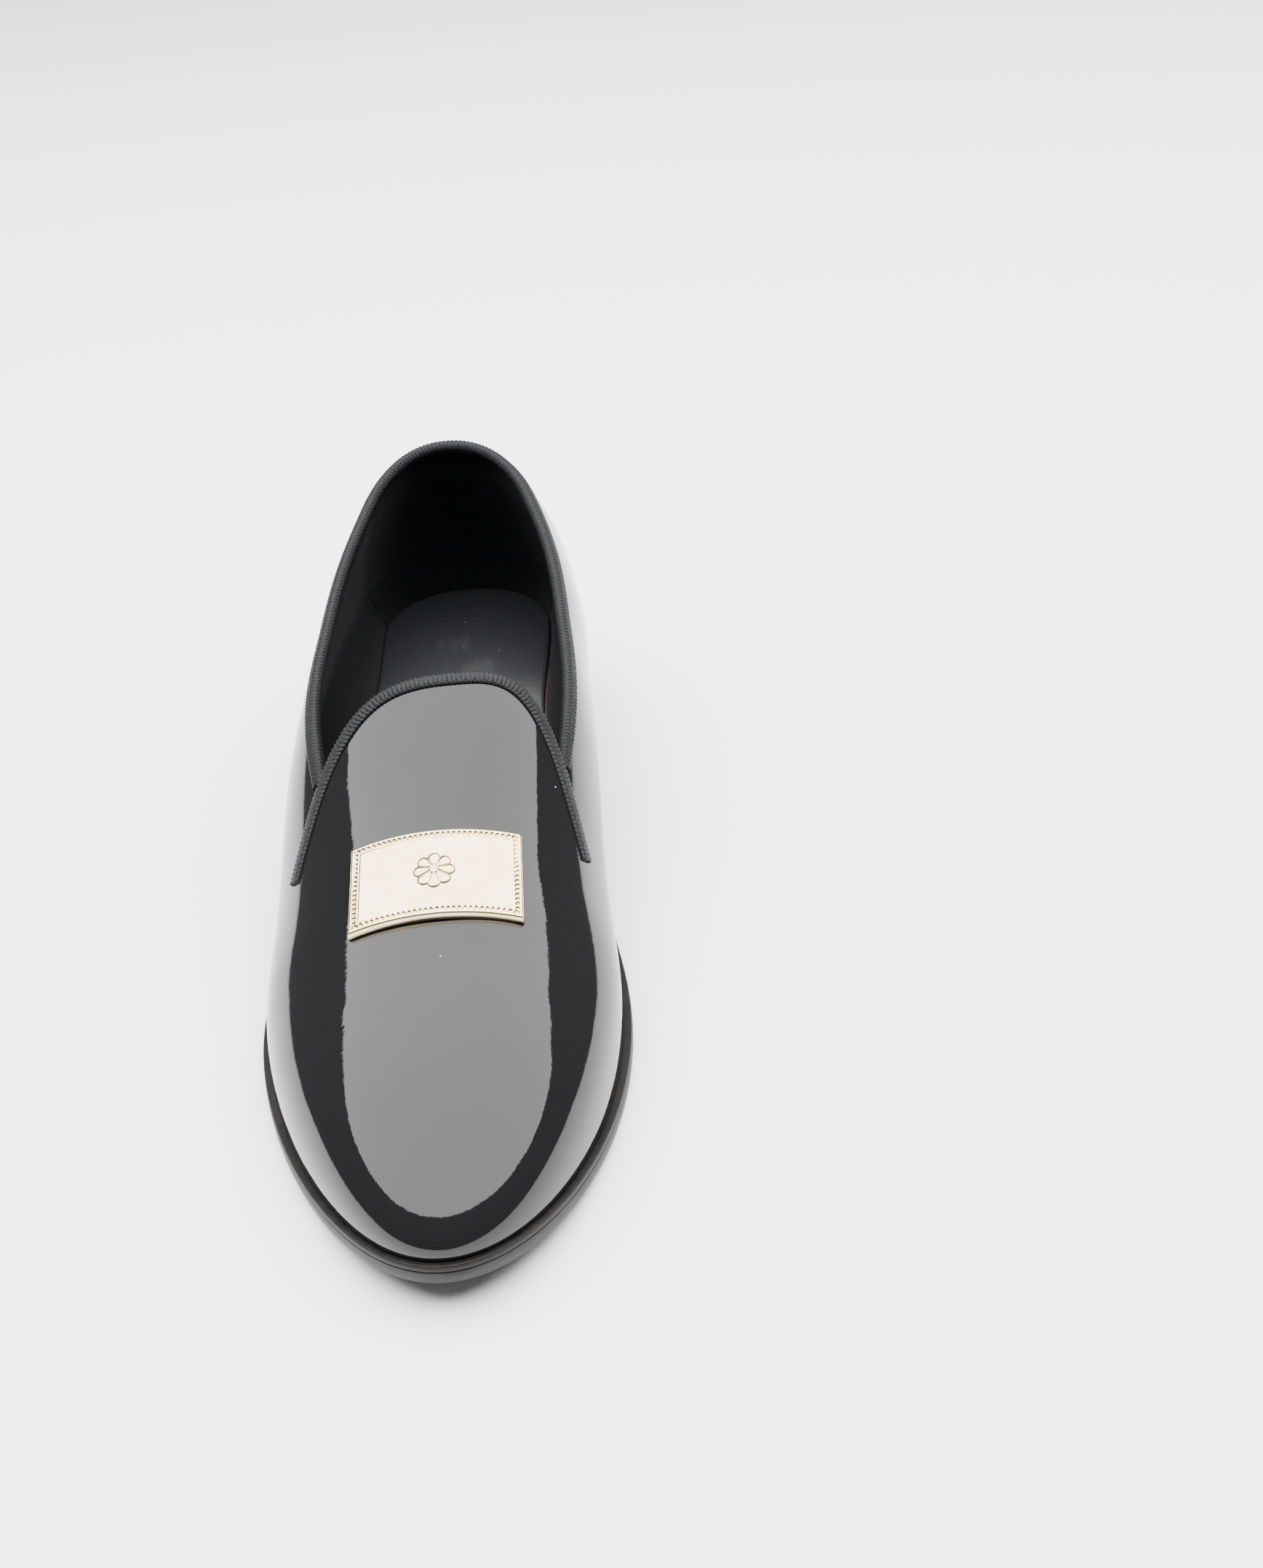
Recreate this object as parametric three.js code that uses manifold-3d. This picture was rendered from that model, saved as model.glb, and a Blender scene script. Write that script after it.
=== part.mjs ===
// A man's patent-leather slip-on dress shoe for the right foot, about EU size 43.
// Millimetres, +Z up, toe towards -Y, inner (medial) side of the foot towards +X.
// The shoe stands on the flat of its sole and on its heel, with the floor at z = 0.
//
// Every leather piece is cut from one "last": a smooth body made of ribs. A rib starts at
// the feather line, where the upper meets the sole, and climbs a quarter turn of a
// superellipse to the ridge over the instep. Each layer is that body, a depth inside it.

import * as THREE from 'three';
import { mergeVertices } from 'three/addons/utils/BufferGeometryUtils.js';
import Module from 'manifold-3d';

const wasm = await Module();
wasm.setup();

// ---------------------------------------------------------------- sole plan
const shoeLength = 300;        // outsole, heel back to toe tip
const ballWidth = 101;         // outsole across the ball
const waistWidth = 67;         // outsole across its narrowest part
const heelWidth = 67;          // outsole across the heel seat
const heelStation = 34;        // widest place of the heel, from the heel's back
const waistStation = 92;
const ballStation = 200;
const waistSwing = -5;         // the waist's centre lies towards the outer side
const swingStation = 150;
const toeSwing = -1;           // the toe's tip, near the middle line
const toeFullness = 0.6;       // takes the toe from an ellipse to an almond
const heelSquareness = 2.05;

// ---------------------------------------------------------------- sole profile
const heelHeight = 20;         // heel lifts and top piece
const breastStation = 72;      // front face of the heel
const treadStart = 194;        // the flat of the sole that the shoe stands on
const treadEnd = 224;
const toeSpring = 9;
const outsoleThick = 3.8;
const midsoleThick = 1.6;
const boardThick = 2.2;
const sockThick = 1.2;
const heelPadThick = 2;
const heelPadFront = 62;
const heelPadInset = 5;
const gap = 0.3;               // between neighbouring pieces

// ---------------------------------------------------------------- last
const welt = { heel: 1.6, waist: 1.5, ball: 1.9, toe: 1.7 };           // sole beyond the feather line
const overhangInner = { heel: 5.5, waist: 12, ball: 2.1, toe: 0.9 };  // body beyond the feather line
const overhangOuter = { heel: 5.5, waist: 12.5, ball: 1.2, toe: 0.9 };
const squareness = { heel: 2.15, waist: 2.6, ball: 2.12, toe: 2.5 };
const tuckHeight = 24;         // height over which the body swells out from the feather line
const ridgeHeights = [[0, 98], [60, 93.5], [132, 74], [185, 54.5], [240, 41], [shoeLength, 29]];
const ridgeSwing = [[0, -1.5], [60, -1.5], [135, 5], [200, 1], [shoeLength, 1.5]];
const toeRibStation = 150;     // ahead of this the ribs lean forwards round the toe
const heelRibStation = 60;     // behind this they lean back round the heel

// ---------------------------------------------------------------- upper
const leatherThick = 1.2;
const stiffenerThick = 0.8;
const layerGap = 0.55;         // between leather and stiffener
const liningGap = 0.8;         // between stiffener and lining
const liningThick = 0.8;
const skiveGap = 0.4;          // between the leather and the lining, at an edge
const liningEdgeDepth = leatherThick + skiveGap;
const skiveHeight = 12;
const liningSetback = 1.8;     // lining's edge inside the vamp's edge
const skiveStart = 0.12;       // share of a rib over which the skive beside a slit fades in
const lastingMargin = 11;      // upper turned in under the insole board
const toplineHeights = [[0, 90], [45, 80.5], [100, 66.5], [170, 49.5]];
const throatStation = 133;     // back edge of the vamp on the ridge
const slitStation = 178;       // lower end of the side slits
const slitLift = 0.39;         // how far up the rib that end lies, as a share of the quarter turn
const throatRoundness = 2.8;
const slitWidth = 4.6;
const bindingLeg = 3.2;
const bindingThick = 0.5;
const bindingGap = 0.4;        // between the ribbon and the edge it wraps
const slotGap = 1.75;          // the same inside the shoe, behind the lining
const backStripWidth = 13;
const backStripThick = 0.9;
const backStripGap = 0.42;
const backSeamGap = 0.6;
const goreReach = 7;           // elastic beyond each side of its slit
const goreThick = 0.5;
const goreDrop = 10;           // elastic's top below the topline
const goreClear = 3;            // elastic's front edge behind the vamp's edge
const puffStation = 248;       // rear edge of the toe puff
const puffLift = 0.72;
const counterStation = 66;     // front edge of the heel counter
const counterDrop = 14;        // counter's top below the topline
const heelGripStation = 26;    // front edge of the suede heel grip

// ---------------------------------------------------------------- bottom hardware
const shankWidth = 14;
const shankBack = 48;
const shankFront = 160;
const rivetRadius = 2;
const shankRivetInset = 12;
const corkBack = 66;
const corkFront = 262;
const corkMargin = 2;
const liftCount = 3;
const topPieceThick = 6;
const liftTaper = 0.5;         // each lift is this much smaller all round than the one above
const breastHollow = 4;
const seamMedialStation = 20;  // top-piece seam on the inner edge
const seamLateralStation = 44; // and on the outer edge
const nailCount = 5;
const nailRadius = 1.1;
const nailHeadRadius = 2.6;
const nailHeadThick = 1;
const nailRing = 19;           // radius of the ring of nails
const nailSpread = 0.45;       // end nails lie this far ahead of the widest place, in radians
const nailTip = 1.5;           // nail points stop this far above the top piece

// ---------------------------------------------------------------- ornament
const plateWidth = 46;
const plateLength = 27;
const plateThick = 2.2;
const plateStation = 198;
const plateShift = -3.5;        // towards the outer side of the ridge
const studRadius = 1.2;
const studSpread = 28;
const backingLength = 10;
const backingWidth = 38;
const backingThick = 0.7;
const rosetteRadius = 5.6;
const rosetteThick = 0.8;
const petalCount = 8;

// ---------------------------------------------------------------- small tools

const clamp01 = (t) => Math.min(1, Math.max(0, t));
const mix = (a, b, t) => a + (b - a) * t;

function ease(t) {
  const c = clamp01(t);
  return c * c * c * (10 - 15 * c + 6 * c * c);
}

// A smooth curve through the points, with natural or level ends.
function spline(points, levelEnds = false) {
  const count = points.length;
  const below = new Array(count).fill(0);
  const main = new Array(count).fill(1);
  const above = new Array(count).fill(0);
  const right = new Array(count).fill(0);
  const step = (i) => points[i + 1][0] - points[i][0];
  const rise = (i) => (points[i + 1][1] - points[i][1]) / step(i);
  for (let i = 1; i < count - 1; i += 1) {
    below[i] = step(i - 1);
    main[i] = 2 * (step(i - 1) + step(i));
    above[i] = step(i);
    right[i] = 6 * (rise(i) - rise(i - 1));
  }
  if (levelEnds) {
    main[0] = 2 * step(0);
    above[0] = step(0);
    right[0] = 6 * rise(0);
    main[count - 1] = 2 * step(count - 2);
    below[count - 1] = step(count - 2);
    right[count - 1] = -6 * rise(count - 2);
  }
  for (let i = 1; i < count; i += 1) {
    const share = below[i] / main[i - 1];
    main[i] -= share * above[i - 1];
    right[i] -= share * right[i - 1];
  }
  const bend = new Array(count).fill(0);
  for (let i = count - 1; i >= 0; i -= 1) {
    const next = i < count - 1 ? above[i] * bend[i + 1] : 0;
    bend[i] = (right[i] - next) / main[i];
  }
  return (x) => {
    let i = 0;
    while (i < count - 2 && x > points[i + 1][0]) i += 1;
    const h = step(i);
    const a = (points[i + 1][0] - x) / h;
    const b = 1 - a;
    const straight = a * points[i][1] + b * points[i + 1][1];
    return straight + ((a * a * a - a) * bend[i] + (b * b * b - b) * bend[i + 1]) * h * h / 6;
  };
}

// A value given at the heel, waist, ball and toe, eased between them.
function along(values, s) {
  if (s < waistStation) {
    return mix(values.heel, values.waist, ease(s / waistStation));
  }
  if (s < ballStation) {
    return mix(values.waist, values.ball, ease((s - waistStation) / (ballStation - waistStation)));
  }
  return mix(values.ball, values.toe, ease((s - ballStation) / (shoeLength - ballStation)));
}

const yOf = (s) => shoeLength / 2 - s;
const stationOf = (y) => shoeLength / 2 - y;

// ---------------------------------------------------------------- sole shape

const middleHalfWidth = spline(
  [[heelStation, heelWidth / 2], [waistStation, waistWidth / 2], [ballStation, ballWidth / 2]],
  true,
);
const soleCentre = spline([[heelStation, 0], [swingStation, waistSwing], [shoeLength, toeSwing]], true);

function soleHalfWidth(s) {
  if (s < heelStation) {
    const back = clamp01((heelStation - s) / heelStation);
    return heelWidth / 2 * Math.pow(1 - Math.pow(back, heelSquareness), 1 / heelSquareness);
  }
  if (s < ballStation) return middleHalfWidth(s);
  const u = clamp01((s - ballStation) / (shoeLength - ballStation));
  return ballWidth / 2 * Math.sqrt(Math.max(0, 1 - u * u * (1 + toeFullness * (1 - u))));
}

// Height of the outsole's bottom face: heel seat, arch, flat tread, toe spring.
function soleBottom(s) {
  if (s < breastStation) return heelHeight;
  if (s < treadStart) return heelHeight * (1 - ease((s - breastStation) / (treadStart - breastStation)));
  if (s < treadEnd) return 0;
  return toeSpring * Math.pow((s - treadEnd) / (shoeLength - treadEnd), 2);
}

const stiffenerDepth = leatherThick + layerGap;
const liningDepth = stiffenerDepth + stiffenerThick + liningGap;
const midsoleLow = outsoleThick + gap;
const featherLevel = midsoleLow + midsoleThick + gap;
const boardLow = featherLevel + leatherThick + gap;
const boardTop = boardLow + boardThick;
const level = (height) => (s) => soleBottom(s) + height;

// ---------------------------------------------------------------- last

const ridgeHeight = spline(ridgeHeights);
const ridgeX = spline(ridgeSwing);
const toplineZ = spline(toplineHeights);

// Where on the ridge the rib from a sole-edge station ends.
function ridgeStation(s) {
  const turn = 2 / Math.PI;
  if (s > toeRibStation) {
    const reach = shoeLength - toeRibStation;
    return toeRibStation + reach * turn * Math.sin((s - toeRibStation) / reach / turn);
  }
  if (s < heelRibStation) {
    return heelRibStation - heelRibStation * turn * Math.sin((heelRibStation - s) / heelRibStation / turn);
  }
  return s;
}

// A rib's foot, its direction in plan and its reach. side is 1 for inner, -1 for outer.
function rib(s, side) {
  const ridge = ridgeStation(s);
  const start = new THREE.Vector2(ridgeX(ridge), ridge);
  const edge = new THREE.Vector2(soleCentre(Math.max(s, heelStation)) + side * soleHalfWidth(s), s);
  const direction = edge.clone().sub(start);
  const soleReach = direction.length();
  direction.normalize();
  const overhang = along(side > 0 ? overhangInner : overhangOuter, s);
  const feather = soleReach - along(welt, s);
  return { start, direction, feather, overhang, soleReach, squareness: along(squareness, s) };
}

function planPoint(r, reach) {
  return [r.start.x + r.direction.x * reach, r.start.y + r.direction.y * reach];
}

// Reach and height on the rib, for a lift from 0 at the feather line to 1 on the ridge.
function ribProfile(r, lift) {
  const angle = lift * Math.PI / 2;
  const share = 2 / r.squareness;
  const up = Math.pow(Math.sin(angle), share);
  const out = lift >= 1 ? 0 : Math.pow(Math.cos(angle), share);
  const body = (r.feather + r.overhang) * out;
  const station = planPoint(r, body)[1];
  const low = soleBottom(station) + featherLevel;
  const height = (ridgeHeight(station) - low) * up;
  const tuck = r.overhang * (1 - ease(height / tuckHeight)) * out;
  return [body - tuck, low + height];
}

function bodyPoint(s, side, lift, depth = 0) {
  const r = rib(s, side);
  const step = 0.004;
  const [reach, z] = ribProfile(r, lift);
  const [reachBelow, zBelow] = ribProfile(r, Math.max(0, lift - step));
  const [reachAbove, zAbove] = ribProfile(r, Math.min(1, lift + step));
  const normal = new THREE.Vector2(zAbove - zBelow, reachBelow - reachAbove).normalize();
  const inReach = lift >= 1 ? 0 : Math.max(0, reach - normal.x * depth);
  const inZ = lift >= 1 ? z - depth : z - normal.y * depth;
  const [x, station] = planPoint(r, inReach);
  return new THREE.Vector3(x, yOf(station), inZ);
}

// The lift at which a layer reaches a height above the floor, given as a function of station.
function liftAt(s, side, heightAt, depth = 0) {
  let low = 0;
  let high = 1;
  for (let i = 0; i < 30; i += 1) {
    const middle = (low + high) / 2;
    const point = bodyPoint(s, side, middle, depth);
    if (point.z < heightAt(stationOf(point.y))) low = middle;
    else high = middle;
  }
  return (low + high) / 2;
}

// Linings and stiffeners stand on the insole board.
const footLift = (s, side) => liftAt(s, side, level(boardTop + 2 * gap), liningDepth + liningThick);

// ---------------------------------------------------------------- throat and slits

// Back edge of the vamp: over the ridge at the throat and down each side to its slit's end.
function vampEdge(lift) {
  const drop = clamp01((1 - lift) / (1 - slitLift));
  return throatStation + (slitStation - throatStation) * Math.pow(drop, throatRoundness);
}

const quarterEdge = (lift) => vampEdge(lift) - slitWidth;

// The corner where the quarter's topline meets its slit.
function cornerLift(side) {
  let lift = 0.6;
  for (let i = 0; i < 60; i += 1) {
    const s = quarterEdge(lift);
    lift = mix(lift, liftAt(s, side, () => toplineZ(s)), 0.5);
  }
  return lift;
}

const corner = { 1: cornerLift(1), '-1': cornerLift(-1) };

function vampStation(base, lift) {
  const shift = vampEdge(Math.max(lift, slitLift)) - slitStation;
  return base + shift * Math.pow((shoeLength - base) / (shoeLength - slitStation), 2);
}

function quarterStation(base, side, climb) {
  const front = slitStation - slitWidth;
  const shift = quarterEdge(mix(slitLift, corner[side], clamp01(climb))) - front;
  return base + shift * Math.pow(base / front, 3);
}

function toplineLift(base, side) {
  const s = quarterStation(base, side, 1);
  return liftAt(s, side, () => toplineZ(s));
}

// ---------------------------------------------------------------- grids

const roundSteps = 7;
const quarterSteps = 10;
const vampSteps = 5;
const toeSteps = 9;

const range = (count) => Array.from({ length: count + 1 }, (unused, i) => i / count);

const quarterBases = [
  ...range(roundSteps).map((t) => heelStation * (1 - Math.cos(t * Math.PI / 2))),
  ...range(quarterSteps).slice(1).map((t) => mix(heelStation, slitStation - slitWidth, t)),
];
const toeBase = 206;
const vampBases = [
  ...range(vampSteps).slice(0, -1).map((t) => mix(slitStation, toeBase, t)),
  ...range(toeSteps).map((t) => mix(toeBase, shoeLength, Math.sin(t * Math.PI / 2))),
];
const soleStations = [
  ...range(roundSteps).map((t) => heelStation * (1 - Math.cos(t * Math.PI / 2))),
  ...range(11).slice(1).map((t) => mix(heelStation, toeBase, t)),
  ...range(toeSteps).slice(1).map((t) => mix(toeBase, shoeLength, Math.sin(t * Math.PI / 2))),
];

// A closed solid made from grids of point pairs, one on its front face and one on its back.
class Sheet {
  constructor() {
    this.pairs = [];
    this.known = new Map();
    this.faces = [];
  }

  vertex([front, back]) {
    const key = [...front.toArray(), ...back.toArray()].map((n) => Math.round(n * 500)).join();
    if (!this.known.has(key)) {
      this.known.set(key, this.pairs.length);
      this.pairs.push([front, back]);
    }
    return this.known.get(key);
  }

  patch(rows) {
    const ids = rows.map((row) => row.map((pair) => this.vertex(pair)));
    for (let i = 0; i < ids.length - 1; i += 1) {
      for (let j = 0; j < ids[i].length - 1; j += 1) {
        this.face(ids[i][j], ids[i + 1][j], ids[i + 1][j + 1]);
        this.face(ids[i][j], ids[i + 1][j + 1], ids[i][j + 1]);
      }
    }
    return this;
  }

  face(a, b, c) {
    if (a !== b && b !== c && a !== c) this.faces.push([a, b, c]);
  }

  geometry() {
    const half = this.pairs.length;
    const position = [];
    for (const layer of [0, 1]) {
      for (const pair of this.pairs) position.push(...pair[layer].toArray());
    }
    const index = [];
    const edges = new Set();
    for (const [a, b, c] of this.faces) {
      index.push(a, b, c, half + a, half + c, half + b);
      for (const edge of [[a, b], [b, c], [c, a]]) edges.add(edge.join());
    }
    for (const edge of edges) {
      const [a, b] = edge.split(',').map(Number);
      if (!edges.has([b, a].join())) index.push(b, a, half + a, b, half + a, half + b);
    }
    return facingOut(position, index);
  }
}

function facingOut(position, index) {
  let volume = 0;
  const corners = [new THREE.Vector3(), new THREE.Vector3(), new THREE.Vector3()];
  for (let i = 0; i < index.length; i += 3) {
    corners.forEach((v, k) => v.fromArray(position, index[i + k] * 3));
    volume += corners[0].dot(corners[1].clone().cross(corners[2]));
  }
  const geometry = new THREE.BufferGeometry();
  geometry.setAttribute('position', new THREE.Float32BufferAttribute(position, 3));
  geometry.setIndex(volume > 0 ? index : index.toReversed());
  return geometry;
}

// ---------------------------------------------------------------- booleans

function solidOf(geometry) {
  const bare = geometry.clone();
  bare.deleteAttribute('normal');
  bare.deleteAttribute('uv');
  const merged = mergeVertices(bare, 1e-4);
  return new wasm.Manifold(new wasm.Mesh({
    numProp: 3,
    vertProperties: new Float32Array(merged.attributes.position.array),
    triVerts: new Uint32Array(merged.index.array),
  }));
}

function geometryOf(solid) {
  const mesh = solid.getMesh();
  const geometry = new THREE.BufferGeometry();
  geometry.setAttribute('position', new THREE.BufferAttribute(mesh.vertProperties, 3));
  geometry.setIndex(new THREE.BufferAttribute(mesh.triVerts, 1));
  return geometry;
}

function cut(geometry, tools) {
  return geometryOf(tools.reduce((body, tool) => body.subtract(solidOf(tool)), solidOf(geometry)));
}

// ---------------------------------------------------------------- materials and scene

const patent = { color: 0x0b0b0c, roughness: 0.06, metalness: 0 };
const grosgrain = { color: 0x17181a, roughness: 0.85, metalness: 0 };
const elastic = { color: 0x101012, roughness: 0.9, metalness: 0 };
const suede = { color: 0x15171b, roughness: 0.95, metalness: 0 };
const sockLeather = { color: 0x101013, roughness: 0.35, metalness: 0 };
const liningLeather = { color: 0x1b1a1b, roughness: 0.7, metalness: 0 };
const fibreboard = { color: 0x9a7b55, roughness: 0.9, metalness: 0 };
const cork = { color: 0xa47e54, roughness: 0.95, metalness: 0 };
const soleLeather = { color: 0x0e0e0f, roughness: 0.25, metalness: 0 };
const heelLeather = { color: 0x2b2623, roughness: 0.55, metalness: 0 };
const heelRubber = { color: 0x1c1c1e, roughness: 0.8, metalness: 0 };
const foam = { color: 0xd8d2c2, roughness: 0.95, metalness: 0 };
const steel = { color: 0x9a9da1, roughness: 0.35, metalness: 1 };
const brass = { color: 0xb28a3e, roughness: 0.35, metalness: 1 };
const gold = { color: 0xd9b365, roughness: 0.08, metalness: 1 };
const stiffener = { color: 0xc9bda4, roughness: 0.9, metalness: 0 };

const shoe = new THREE.Group();

function add(name, geometry, finish) {
  const mesh = new THREE.Mesh(geometry, new THREE.MeshStandardMaterial(finish));
  mesh.name = name;
  shoe.add(mesh);
  return mesh;
}

// ---------------------------------------------------------------- upper

const bandLifts = [0, 0.03, 0.08, 0.14, 0.22, 0.3, slitLift];
const upperRows = 6;

function leatherPair(s, side, lift) {
  return [bodyPoint(s, side, lift), bodyPoint(s, side, lift, leatherThick)];
}

// The turned-in edge, then the corner where the upper rises from the sole.
function featherPairs(s, side) {
  const r = rib(s, side);
  const pair = (reach, rise) => {
    const [x, station] = planPoint(r, reach);
    return new THREE.Vector3(x, yOf(station), soleBottom(station) + featherLevel + rise);
  };
  const tip = r.feather - lastingMargin;
  return [
    [pair(tip, 0), pair(tip, leatherThick)],
    [pair(r.feather, 0), pair(r.feather - leatherThick, leatherThick)],
  ];
}

// The back edge stands clear of the centre line, where the two quarters meet.
function backSeam(pair, side) {
  return pair.map((p) => new THREE.Vector3(side * Math.max(backSeamGap / 2, side * p.x), p.y, p.z));
}

function wholecut() {
  const sheet = new Sheet();
  for (const side of [1, -1]) {
    const order = (row) => (side > 0 ? row : row.toReversed());
    const trimmed = (pair, base) => (base === 0 ? backSeam(pair, side) : pair);
    const bases = [...quarterBases, ...vampBases];
    const feathers = bases.map((s) => featherPairs(s, side).map((pair) => trimmed(pair, s)));
    const band = bandLifts.slice(1).map((lift) => bases.map((s) => trimmed(leatherPair(s, side, lift), s)));
    const rows = [feathers.map((f) => f[0]), feathers.map((f) => f[1]), ...band];
    sheet.patch(rows.map(order));
    const quarter = range(upperRows).map((climb) => quarterBases.map((base) => {
      const lift = mix(slitLift, toplineLift(base, side), climb);
      return trimmed(leatherPair(quarterStation(base, side, climb), side, lift), base);
    }));
    sheet.patch(quarter.map(order));
    const vamp = range(upperRows).map((climb) => vampBases.map((base) => {
      const lift = mix(slitLift, 1, climb);
      return leatherPair(vampStation(base, lift), side, lift);
    }));
    sheet.patch(vamp.map(order));
  }
  return sheet.geometry();
}

// A lining or stiffener: the body between two depths, from its foot to an edge.
function layer(columns, near, far, rowCount = upperRows + 3) {
  const rows = range(rowCount).map((climb) => columns.map((column) => {
    const { s, side, lift, skive } = column(climb);
    return [bodyPoint(s, side, lift, near - skive), bodyPoint(s, side, lift, far - skive)];
  }));
  return rows;
}

function skiveNear(distance) {
  return (liningDepth - liningEdgeDepth) * (1 - ease(distance / skiveHeight));
}

function quarterLining(side) {
  const bases = quarterBases.filter((base) => base >= heelGripStation);
  const columns = bases.map((base) => (climb) => {
    const top = toplineLift(base, side);
    const foot = footLift(base, side);
    const lift = mix(foot, top, climb);
    const s = quarterStation(base, side, (lift - slitLift) / (top - slitLift));
    const below = toplineZ(quarterStation(base, side, 1)) - bodyPoint(s, side, lift).z;
    return { s, side, lift, skive: skiveNear(below) };
  });
  return new Sheet().patch(layer(columns, liningDepth, liningDepth + liningThick)).geometry();
}

function heelGrip() {
  const bases = quarterBases.filter((base) => base <= heelGripStation - 2);
  const sides = [...bases.toReversed().map((base) => [base, 1]), ...bases.slice(1).map((base) => [base, -1])];
  const columns = sides.map(([base, side]) => (climb) => {
    const top = toplineLift(base, side);
    const lift = mix(footLift(base, side), top, climb);
    const below = toplineZ(base) - bodyPoint(base, side, lift).z;
    return { s: base, side, lift, skive: skiveNear(below) };
  });
  return new Sheet().patch(layer(columns, liningDepth, liningDepth + liningThick)).geometry();
}

function vampLining() {
  const sheet = new Sheet();
  for (const side of [1, -1]) {
    const columns = vampBases.map((base) => (climb) => {
      const lift = mix(footLift(base, side), 1, climb);
      const setback = liningSetback * (shoeLength - base) / (shoeLength - slitStation);
      const s = vampStation(base, lift) + setback;
      const edge = s - vampEdge(Math.max(lift, slitLift));
      return { s, side, lift, skive: skiveNear(edge) * ease((lift - slitLift) / skiveStart + 2) };
    });
    const rows = layer(columns, liningDepth, liningDepth + liningThick);
    sheet.patch(rows.map((row) => (side > 0 ? row : row.toReversed())));
  }
  return sheet.geometry();
}

function heelCounter() {
  const bases = quarterBases.filter((base) => base <= counterStation);
  const sides = [...bases.toReversed().map((base) => [base, 1]), ...bases.slice(1).map((base) => [base, -1])];
  const columns = sides.map(([base, side]) => (climb) => {
    const wane = 1 - 0.55 * ease(base / counterStation);
    const foot = soleBottom(base) + boardTop;
    const top = foot + (toplineZ(base) - counterDrop - foot) * wane;
    const lift = mix(footLift(base, side), liftAt(base, side, () => top), climb);
    return { s: base, side, lift, skive: 0 };
  });
  return new Sheet().patch(layer(columns, stiffenerDepth, stiffenerDepth + stiffenerThick)).geometry();
}

function toePuff() {
  const bases = vampBases.filter((base) => base >= puffStation);
  const sides = [...bases.map((base) => [base, 1]), ...bases.toReversed().slice(1).map((base) => [base, -1])];
  const columns = sides.map(([base, side]) => (climb) => {
    return { s: base, side, lift: mix(footLift(base, side), puffLift, climb), skive: 0 };
  });
  return new Sheet().patch(layer(columns, stiffenerDepth, stiffenerDepth + stiffenerThick)).geometry();
}

// The elastic that closes a slit from behind.
function gore(side) {
  const top = liftAt(quarterEdge(corner[side]), side, (station) => toplineZ(station) - goreDrop);
  const rows = range(6).map((climb) => {
    const lift = mix(slitLift, top, climb);
    const edge = vampEdge(Math.max(lift, slitLift));
    return range(3).map((t) => {
      const s = edge + mix(-slitWidth - goreReach, -goreClear, t);
      return [bodyPoint(s, side, lift, stiffenerDepth), bodyPoint(s, side, lift, stiffenerDepth + goreThick)];
    });
  });
  return new Sheet().patch(rows).geometry();
}

// The heel-end station at which the sole is this wide to one side.
function heelStationAt(x) {
  const share = Math.pow(2 * x / heelWidth, heelSquareness);
  return heelStation * (1 - Math.pow(1 - share, 1 / heelSquareness));
}

function backStrip() {
  const stations = range(3).map((t) => heelStationAt(t * backStripWidth / 2));
  const sides = [...stations.toReversed().map((s) => [s, 1]), ...stations.slice(1).map((s) => [s, -1])];
  const columns = sides.map(([s, side]) => (climb) => {
    return { s, side, lift: mix(0.04, toplineLift(s, side) - 0.06, climb), skive: 0 };
  });
  return new Sheet().patch(layer(columns, -backStripGap, -backStripGap - backStripThick, 7)).geometry();
}

// ---------------------------------------------------------------- bindings

// Ribbon folded over an edge: a U section, swept along it. The slot takes leather and lining.
const slotDepth = liningEdgeDepth + liningThick + slotGap;
const outerFace = bindingGap + bindingThick;
const bindingRound = 0.4;
const bindingSection = [
  [outerFace, -bindingLeg],
  [outerFace, outerFace - bindingRound],
  [outerFace - bindingRound, outerFace],
  [-slotDepth - bindingThick + bindingRound, outerFace],
  [-slotDepth - bindingThick, outerFace - bindingRound],
  [-slotDepth - bindingThick, -bindingLeg],
  [-slotDepth, -bindingLeg],
  [-slotDepth, bindingGap],
  [bindingGap, bindingGap],
  [bindingGap, -bindingLeg],
];

function sweep(stops) {
  const sides = bindingSection.length;
  const position = [];
  const index = [];
  stops.forEach(({ point, outward, away }) => {
    for (const [out, up] of bindingSection) {
      position.push(...point.clone().addScaledVector(outward, out).addScaledVector(away, up).toArray());
    }
  });
  for (let i = 0; i < stops.length - 1; i += 1) {
    for (let j = 0; j < sides; j += 1) {
      const a = i * sides + j;
      const b = i * sides + (j + 1) % sides;
      index.push(a, b, b + sides, a, b + sides, a + sides);
    }
  }
  const outline = bindingSection.map(([out, up]) => new THREE.Vector2(out, up));
  const end = (stops.length - 1) * sides;
  for (const face of THREE.ShapeUtils.triangulateShape(outline, [])) {
    const turns = THREE.ShapeUtils.area(face.map((k) => outline[k])) > 0;
    const [a, b, c] = turns ? face : face.toReversed();
    index.push(c, b, a, end + a, end + b, end + c);
  }
  return facingOut(position, index);
}

function surfaceNormal(s, side, lift) {
  const reach = 1;
  const turn = 0.02;
  const ahead = bodyPoint(s + reach, side, lift).sub(bodyPoint(Math.max(0, s - reach), side, lift));
  const up = bodyPoint(s, side, Math.min(1, lift + turn)).sub(bodyPoint(s, side, lift - turn));
  const normal = ahead.cross(up).normalize();
  const inward = bodyPoint(s, side, lift, 1).sub(bodyPoint(s, side, lift));
  return normal.dot(inward) > 0 ? normal.negate() : normal;
}

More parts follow.
